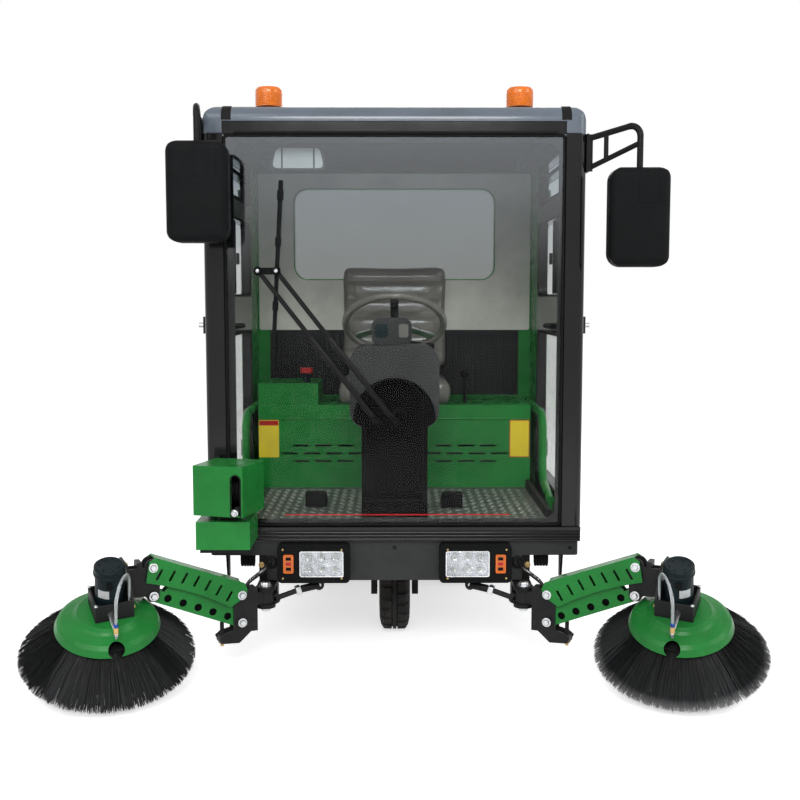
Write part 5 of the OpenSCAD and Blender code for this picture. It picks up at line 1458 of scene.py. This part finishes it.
class SWEEPER_OT_brush_heads(bpy.types.Operator):
    """Dresses the brush motors and runs the spray hoses to their nozzles"""

    bl_idname = "sweeper.brush_heads"
    bl_label = "Brush heads"

    def execute(self, context):
        for side, k in SIDES:
            self.motor(side, brush_place(k))
            self.spray(side, brush_place(k))
        return {"FINISHED"}

    @staticmethod
    def motor(side, place):
        base, top, r, cap = 0.194, 0.358, 0.046, 0.049
        axis = place @ moved((-0.007, 0, 0))
        form = Form()
        lip = [(cap, top - 0.026), (cap + 0.002, top - 0.0245), (cap + 0.002, top - 0.019),
               (cap, top - 0.017)]
        crown = [(cap, top), (cap - 0.004, top + 0.004), (cap - 0.010, top + 0.0045),
                 (cap - 0.012, top + 0.002), (0, top + 0.002)]
        ring = [(r, base + 0.030), (r + 0.002, base + 0.031), (r + 0.002, base + 0.036), (r, base + 0.037)]
        for profile in (lip, crown, ring):
            form.add(lathe(profile, 40), "motor_paint", axis)
        for a in (40, 100, 160, 220, 280, 340):
            spot = turned(a, "Z") @ moved((0.030, 0, top + 0.0022))
            form.add(dome_head(0.0036, 0.003), "motor_paint", axis @ spot)
        gland = axis @ turned(78, "Z") @ facing((r - 0.0005, 0, 0.312), (1, 0, 0))
        form.add(lathe([(0, 0.008), (0.009, 0.0075), (0.0115, 0.006), (0.0115, -0.002)], 18),
                 "black_plastic", gland)
        plate = []
        for i in range(7):
            spot = polar(r + 0.0007, math.radians(28 + 8 * i))
            plate += [(*spot, h) for h in (0.262, 0.292)]
        faces = [[2 * i, 2 * i + 2, 2 * i + 3, 2 * i + 1] for i in range(6)]
        form.add((plate, faces), "grey_plate", axis)
        for y, h in ((-0.100, 0.280), (-0.100, 0.240), (-0.070, 0.300), (0.035, 0.210)):
            form.add(hex_head(0.0075, 0.007), "brass", place @ facing((-0.0732, y, h), (-1, 0, 0)))
        for y in (-0.054, 0.054):
            form.add(hex_head(0.0042, 0.005), "zinc", place @ moved((0.047, y, 0.2482)))
        form.piece(f"motor_fittings_{side}", f"brush_head_{side}", "motor_paint")

    @staticmethod
    def spray(side, place):
        hose = Form()
        route = spray_route()
        hose.add(tube(route, 0.005, 12), "hose_clear", place)
        hose.add(tube(route, 0.003, 8), "grey_plate", place)
        nozzle = place @ moved(HOSE_ENDS[1])
        collar = [(0, 0.230), (0.0068, 0.230), (0.0074, 0.232), (0.0074, 0.239), (0.0068, 0.241), (0, 0.241)]
        barrel = [(0, 0.206), (0.008, 0.206), (0.008, 0.226), (0.0065, 0.228), (0.0065, 0.231), (0, 0.231)]
        nut = [(0, 0.194), (0.0076, 0.194), (0.009, 0.196), (0.009, 0.207), (0, 0.207)]
        tip = [(0, 0.188), (0.002, 0.188), (0.002, 0.186), (0.0042, 0.186), (0.005, 0.190), (0.005, 0.195)]
        for profile, sides, finish in ((collar, 16, "blue_ring"), (barrel, 16, "brass"), (nut, 6, "zinc"),
                                       (tip, 14, "zinc")):
            hose.add(lathe(profile, sides), finish, nozzle)
        for size, spot in (((0.018, 0.087, 0.004), (0.005, 0.1025, 0.222)),
                           ((0.010, 0.004, 0.028), (0.001, 0.0602, 0.210)),
                           ((0.010, 0.016, 0.020), (-0.060, 0.042, 0.220))):
            hose.add(block(*size, 0.0012), "zinc", place @ moved(spot))
        hose.piece(f"spray_line_{side}", f"brush_head_{side}", "hose_clear", [f"spray_hose_{side}"])


class SWEEPER_OT_cables(bpy.types.Operator):
    """Runs the cable bundles behind the front panel and the leads to the arms"""

    bl_idname = "sweeper.cables"
    bl_label = "Front cables"

    def execute(self, context):
        form = Form()
        for k in (-1, 1):
            for i in range(5):
                centre = at(k * (0.505 + 0.010 * i), 0.034, 0.368)
                loop = [centre + Vector((0, 0.020 * math.cos(a), 0.026 * math.sin(a))) for a in
                        [math.tau * j / 20 for j in range(20)]]
                form.add(tube(loop, 0.0046, 8, closed=True), "black_rubber")
            lead = smooth_path([at(k * 0.500, 0.030, 0.393), at(k * 0.470, 0.012, 0.386),
                                at(k * 0.440, 0.004, 0.392)], 6)
            form.add(tube(lead, 0.0046, 8), "black_rubber")
        form.piece("cable_bundles", "chassis", "black_rubber")
        for side, k in SIDES:
            lead = Form()
            path = smooth_path([at(*p) for p in (
                (-0.4365, -0.016, 0.365), (-0.440, -0.045, 0.362), (-0.452, -0.078, 0.352),
                (-0.478, -0.104, 0.336), (-0.503, -0.119, 0.318), (-0.520, -0.126, 0.296))], 7)
            lead.add(tube(path, 0.0052, 10), "black_rubber", mirrored(k))
            clear = [p + Vector((0.004, -0.004, 0.010)) for p in path]
            lead.add(tube(clear, 0.0045, 10), "hose_clear", mirrored(k))
            made = lead.piece(f"arm_lead_{side}", "chassis", "black_rubber")
            made.parent = None
            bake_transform(made)
        return {"FINISHED"}


class SWEEPER_OT_hose_cabinets(bpy.types.Operator):
    """Fits the reel and nozzle of the hose cabinets"""

    bl_idname = "sweeper.hose_cabinets"
    bl_label = "Hose cabinets"

    def execute(self, context):
        form = Form()
        box = moved(at(-0.560, -0.160, 0.575)) @ turned(-16, "Z")
        half = 0.076
        reel = [(0.012, -half), (0.070, -half), (0.070, 0.006 - half), (0.046, 0.008 - half),
                (0.046, half - 0.008), (0.070, half - 0.006), (0.070, half), (0.012, half), (0.012, -half)]
        drum = box @ moved((0, 0.004, 0.084)) @ turned(90, "Y")
        form.add(lathe(reel, 36), "black_plastic", drum)
        turn = (2 * half - 0.016) / 10
        wound = lathe([(0.046, 0), (0.052, 0.16 * turn), (0.0545, 0.5 * turn), (0.052, 0.84 * turn),
                       (0.046, turn)], 30)
        for i in range(10):
            form.add(wound, "black_rubber", drum @ moved((0, 0, 0.008 - half + turn * i)))
        spout = box @ facing((0.064, -0.088, 0.020), (0.05, -1, -0.25))
        form.add(lathe([(0, -0.02), (0.010, -0.02), (0.010, 0.004), (0.0125, 0.006), (0.0125, 0.014),
                        (0.009, 0.018), (0.009, 0.024), (0.005, 0.026), (0, 0.022)], 18), "zinc", spout)
        slot_r = 0.0175
        arch = [(x, 0.123 + z) for x, z in (polar(slot_r, math.pi * i / 12) for i in range(13))]
        arch = [(slot_r, 0.002)] + arch + [(-slot_r, 0.002)]
        rim = [box @ Vector((0.064 + x, -0.0915, z)) for x, z in arch]
        form.add(tube(rim, 0.0022, 8), "black_rubber")
        form.piece("hose_cabinet_fittings", "chassis", "green_paint")
        return {"FINISHED"}


# Hopper


class SWEEPER_OT_hopper(bpy.types.Operator):
    """Adds the panel frames, latches, bolts and tail lamps of the hopper"""

    bl_idname = "sweeper.hopper"
    bl_label = "Hopper trim"

    def execute(self, context):
        form = Form()
        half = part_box("rear_body")[1].x
        rear = at(0, 1.950, 0).y
        for k in (-1, 1):
            for s in (1.27, 1.50, 1.72, 1.91):
                for z in (0.56, 1.27):
                    form.add(hex_head(0.0085, 0.006), "zinc", facing(at(k * half, s, z), (k, 0, 0)))
            frame_loop = ring_plate(outline(0.575, 0.344, 0.030), outline(0.555, 0.324, 0.022), 0.0035)
            form.add(frame_loop, "green_paint", facing(at(k * half, 1.5875, 1.075), (k, 0, 0)))
        form.piece("hopper_trim", "chassis", "green_paint")
        door = Form()
        face_y = rear + 0.030
        back = facing((0, face_y, 0.905), (0, 1, 0))
        for w, h in ((1.10, 0.66), (0.86, 0.44)):
            pressed = ring_plate(outline(w, h, 0.05), outline(w - 0.034, h - 0.034, 0.035), 0.006)
            door.add(pressed, "green_paint", back)
        door.add(prism(outline(0.34, 0.115, 0.006), 0.003), "grey_plate",
                 facing((0, face_y, 0.80), (0, 1, 0)))
        for x in (-0.47, 0.47):
            latch = facing((x, face_y, 0.545), (0, 1, 0))
            for size, finish, place in (((0.045, 0.075, 0.014, 0.004), "black_paint", (0, 0, 0.006)),
                                        ((0.020, 0.060, 0.012, 0.004), "zinc", (0, -0.006, 0.018))):
                door.add(block(*size), finish, latch @ moved(place))
            for z in (-0.028, 0.028):
                door.add(dome_head(0.005, 0.003), "zinc", latch @ moved((0.015, z, 0.0128)))
        door.piece("rear_door_trim", "hopper_door", "green_paint")
        lamps = Form()
        for k in (-1, 1):
            body = facing(at(k * 0.628, 1.950, 0.695), (0, 1, 0))
            lamps.add(prism(outline(0.0196, 0.1496, 0.005), 0.010), "black_plastic", body)
            for z, finish in ((0.048, "red_lens"), (0.0, "amber_lens"), (-0.048, "red_lens")):
                lamps.add(prism(outline(0.0176, 0.046, 0.004), 0.015), finish,
                          body @ moved((0, z, 0.0098)))
        lamps.piece("tail_lamp_units", "chassis", "red_lens", ["tail_lamps"])
        return {"FINISHED"}


# Stage


def seen_rays(tree):
    """1 for rays that show a surface to the camera, also through glass and in reflections."""
    path = add_node(tree, "ShaderNodeLightPath").outputs
    seen = calc(tree, "MAXIMUM", path["Is Camera Ray"], path["Is Glossy Ray"])
    return calc(tree, "MAXIMUM", seen, path["Is Transmission Ray"])


class SWEEPER_OT_stage(bpy.types.Operator):
    """Sets the floor, the soft lights and the camera"""

    bl_idname = "sweeper.stage"
    bl_label = "Stage"

    def execute(self, context):
        scene = context.scene
        settings = scene.sweeper_stage
        scene.view_settings.view_transform = "Standard"
        bpy.ops.mesh.primitive_plane_add(size=60, location=(0, 0, 0))
        floor = context.object
        floor.name = "studio_floor"
        floor.data.materials.append(self.floor_finish(settings.floor))
        world = scene.world or bpy.data.worlds.new("Studio")
        scene.world = world
        world.use_nodes = True
        tree = world.node_tree
        tree.nodes.clear()
        strength = spread(tree, seen_rays(tree), 0.0, 1.0, settings.fill, 1.0)
        sky = add_node(tree, "ShaderNodeBackground", {"Color": (1, 1, 1, 1), "Strength": strength})
        out = add_node(tree, "ShaderNodeOutputWorld")
        tree.links.new(sky.outputs[0], out.inputs["Surface"])
        for name, place, size, power in (
                ("Key", (-2.6, -4.2, 4.6), 3.2, settings.key),
                ("Front", (0.0, -6.5, 4.0), 2.2, 2.3 * settings.key),
                ("Side", (4.2, -2.4, 3.2), 2.6, 0.7 * settings.key),
                ("Back", (0.5, 4.6, 4.4), 3.0, settings.key)):
            lamp = bpy.data.lights.new(name, "AREA")
            lamp.size = size
            lamp.energy = power
            made = bpy.data.objects.new(name, lamp)
            scene.collection.objects.link(made)
            made.matrix_world = facing(place, Vector(place) - Vector((0, -0.2, 0.8)))
        camera = bpy.data.cameras.new("Camera")
        camera.lens = settings.focal
        camera.sensor_width = 36
        view = bpy.data.objects.new("Camera", camera)
        scene.collection.objects.link(view)
        view.location = at(0, -3.841, 1.302)
        view.rotation_euler = (math.pi / 2 - 0.094, 0, -0.005)
        scene.camera = view
        return {"FINISHED"}

    @staticmethod
    def floor_finish(colour):
        made, tree, inputs = blank("studio_floor", {"Roughness": 0.9, "Specular IOR Level": 0.1})
        tree.links.new(mottled(tree, (*colour, 1.0), 0.985, 0.8), inputs["Base Color"])
        glow = calc(tree, "MULTIPLY", seen_rays(tree), 0.64)
        pale = add_node(tree, "ShaderNodeEmission", {"Color": (1, 1, 1, 1), "Strength": glow}).outputs[0]
        both = add_node(tree, "ShaderNodeAddShader", {0: tree.nodes["Principled BSDF"].outputs[0], 1: pale})
        tree.links.new(both.outputs[0], tree.nodes["Material Output"].inputs["Surface"])
        return made


class SWEEPER_PT_panel(bpy.types.Panel):
    """Lists the steps that dress the sweeper"""

    bl_idname = "SWEEPER_PT_panel"
    bl_label = "Street sweeper"
    bl_space_type = "VIEW_3D"
    bl_region_type = "UI"
    bl_category = "Sweeper"

    def draw(self, context):
        for operator in OPERATORS:
            self.layout.operator(operator.bl_idname)
        for group in GROUP_NAMES:
            settings = getattr(context.scene, group)
            box = self.layout.box()
            for name in settings.__annotations__:
                box.prop(settings, name)


SETTINGS = (SweeperColours, SweeperBristles, SweeperTread, SweeperStage)
GROUP_NAMES = ("sweeper_colours", "sweeper_bristles", "sweeper_tread", "sweeper_stage")
OPERATORS = (
    SWEEPER_OT_stage, SWEEPER_OT_paint, SWEEPER_OT_side_brushes, SWEEPER_OT_roller, SWEEPER_OT_tyres,
    SWEEPER_OT_wheel_nuts, SWEEPER_OT_windscreen, SWEEPER_OT_roof, SWEEPER_OT_doors, SWEEPER_OT_front,
    SWEEPER_OT_amber_lamps, SWEEPER_OT_mirrors, SWEEPER_OT_wiper, SWEEPER_OT_seat, SWEEPER_OT_cab_floor,
    SWEEPER_OT_seat_box, SWEEPER_OT_dash, SWEEPER_OT_arm_bolts, SWEEPER_OT_brush_heads, SWEEPER_OT_cables,
    SWEEPER_OT_hose_cabinets, SWEEPER_OT_hopper)


def register():
    for cls in SETTINGS + OPERATORS + (SWEEPER_PT_panel,):
        bpy.utils.register_class(cls)
    for name, cls in zip(GROUP_NAMES, SETTINGS):
        setattr(bpy.types.Scene, name, bpy.props.PointerProperty(type=cls))


def unregister():
    for name in GROUP_NAMES:
        delattr(bpy.types.Scene, name)
    for cls in reversed(SETTINGS + OPERATORS + (SWEEPER_PT_panel,)):
        bpy.utils.unregister_class(cls)


def main():
    register()
    for operator in OPERATORS:
        family, name = operator.bl_idname.split(".")
        getattr(getattr(bpy.ops, family), name)()


if __name__ == "__main__":
    main()
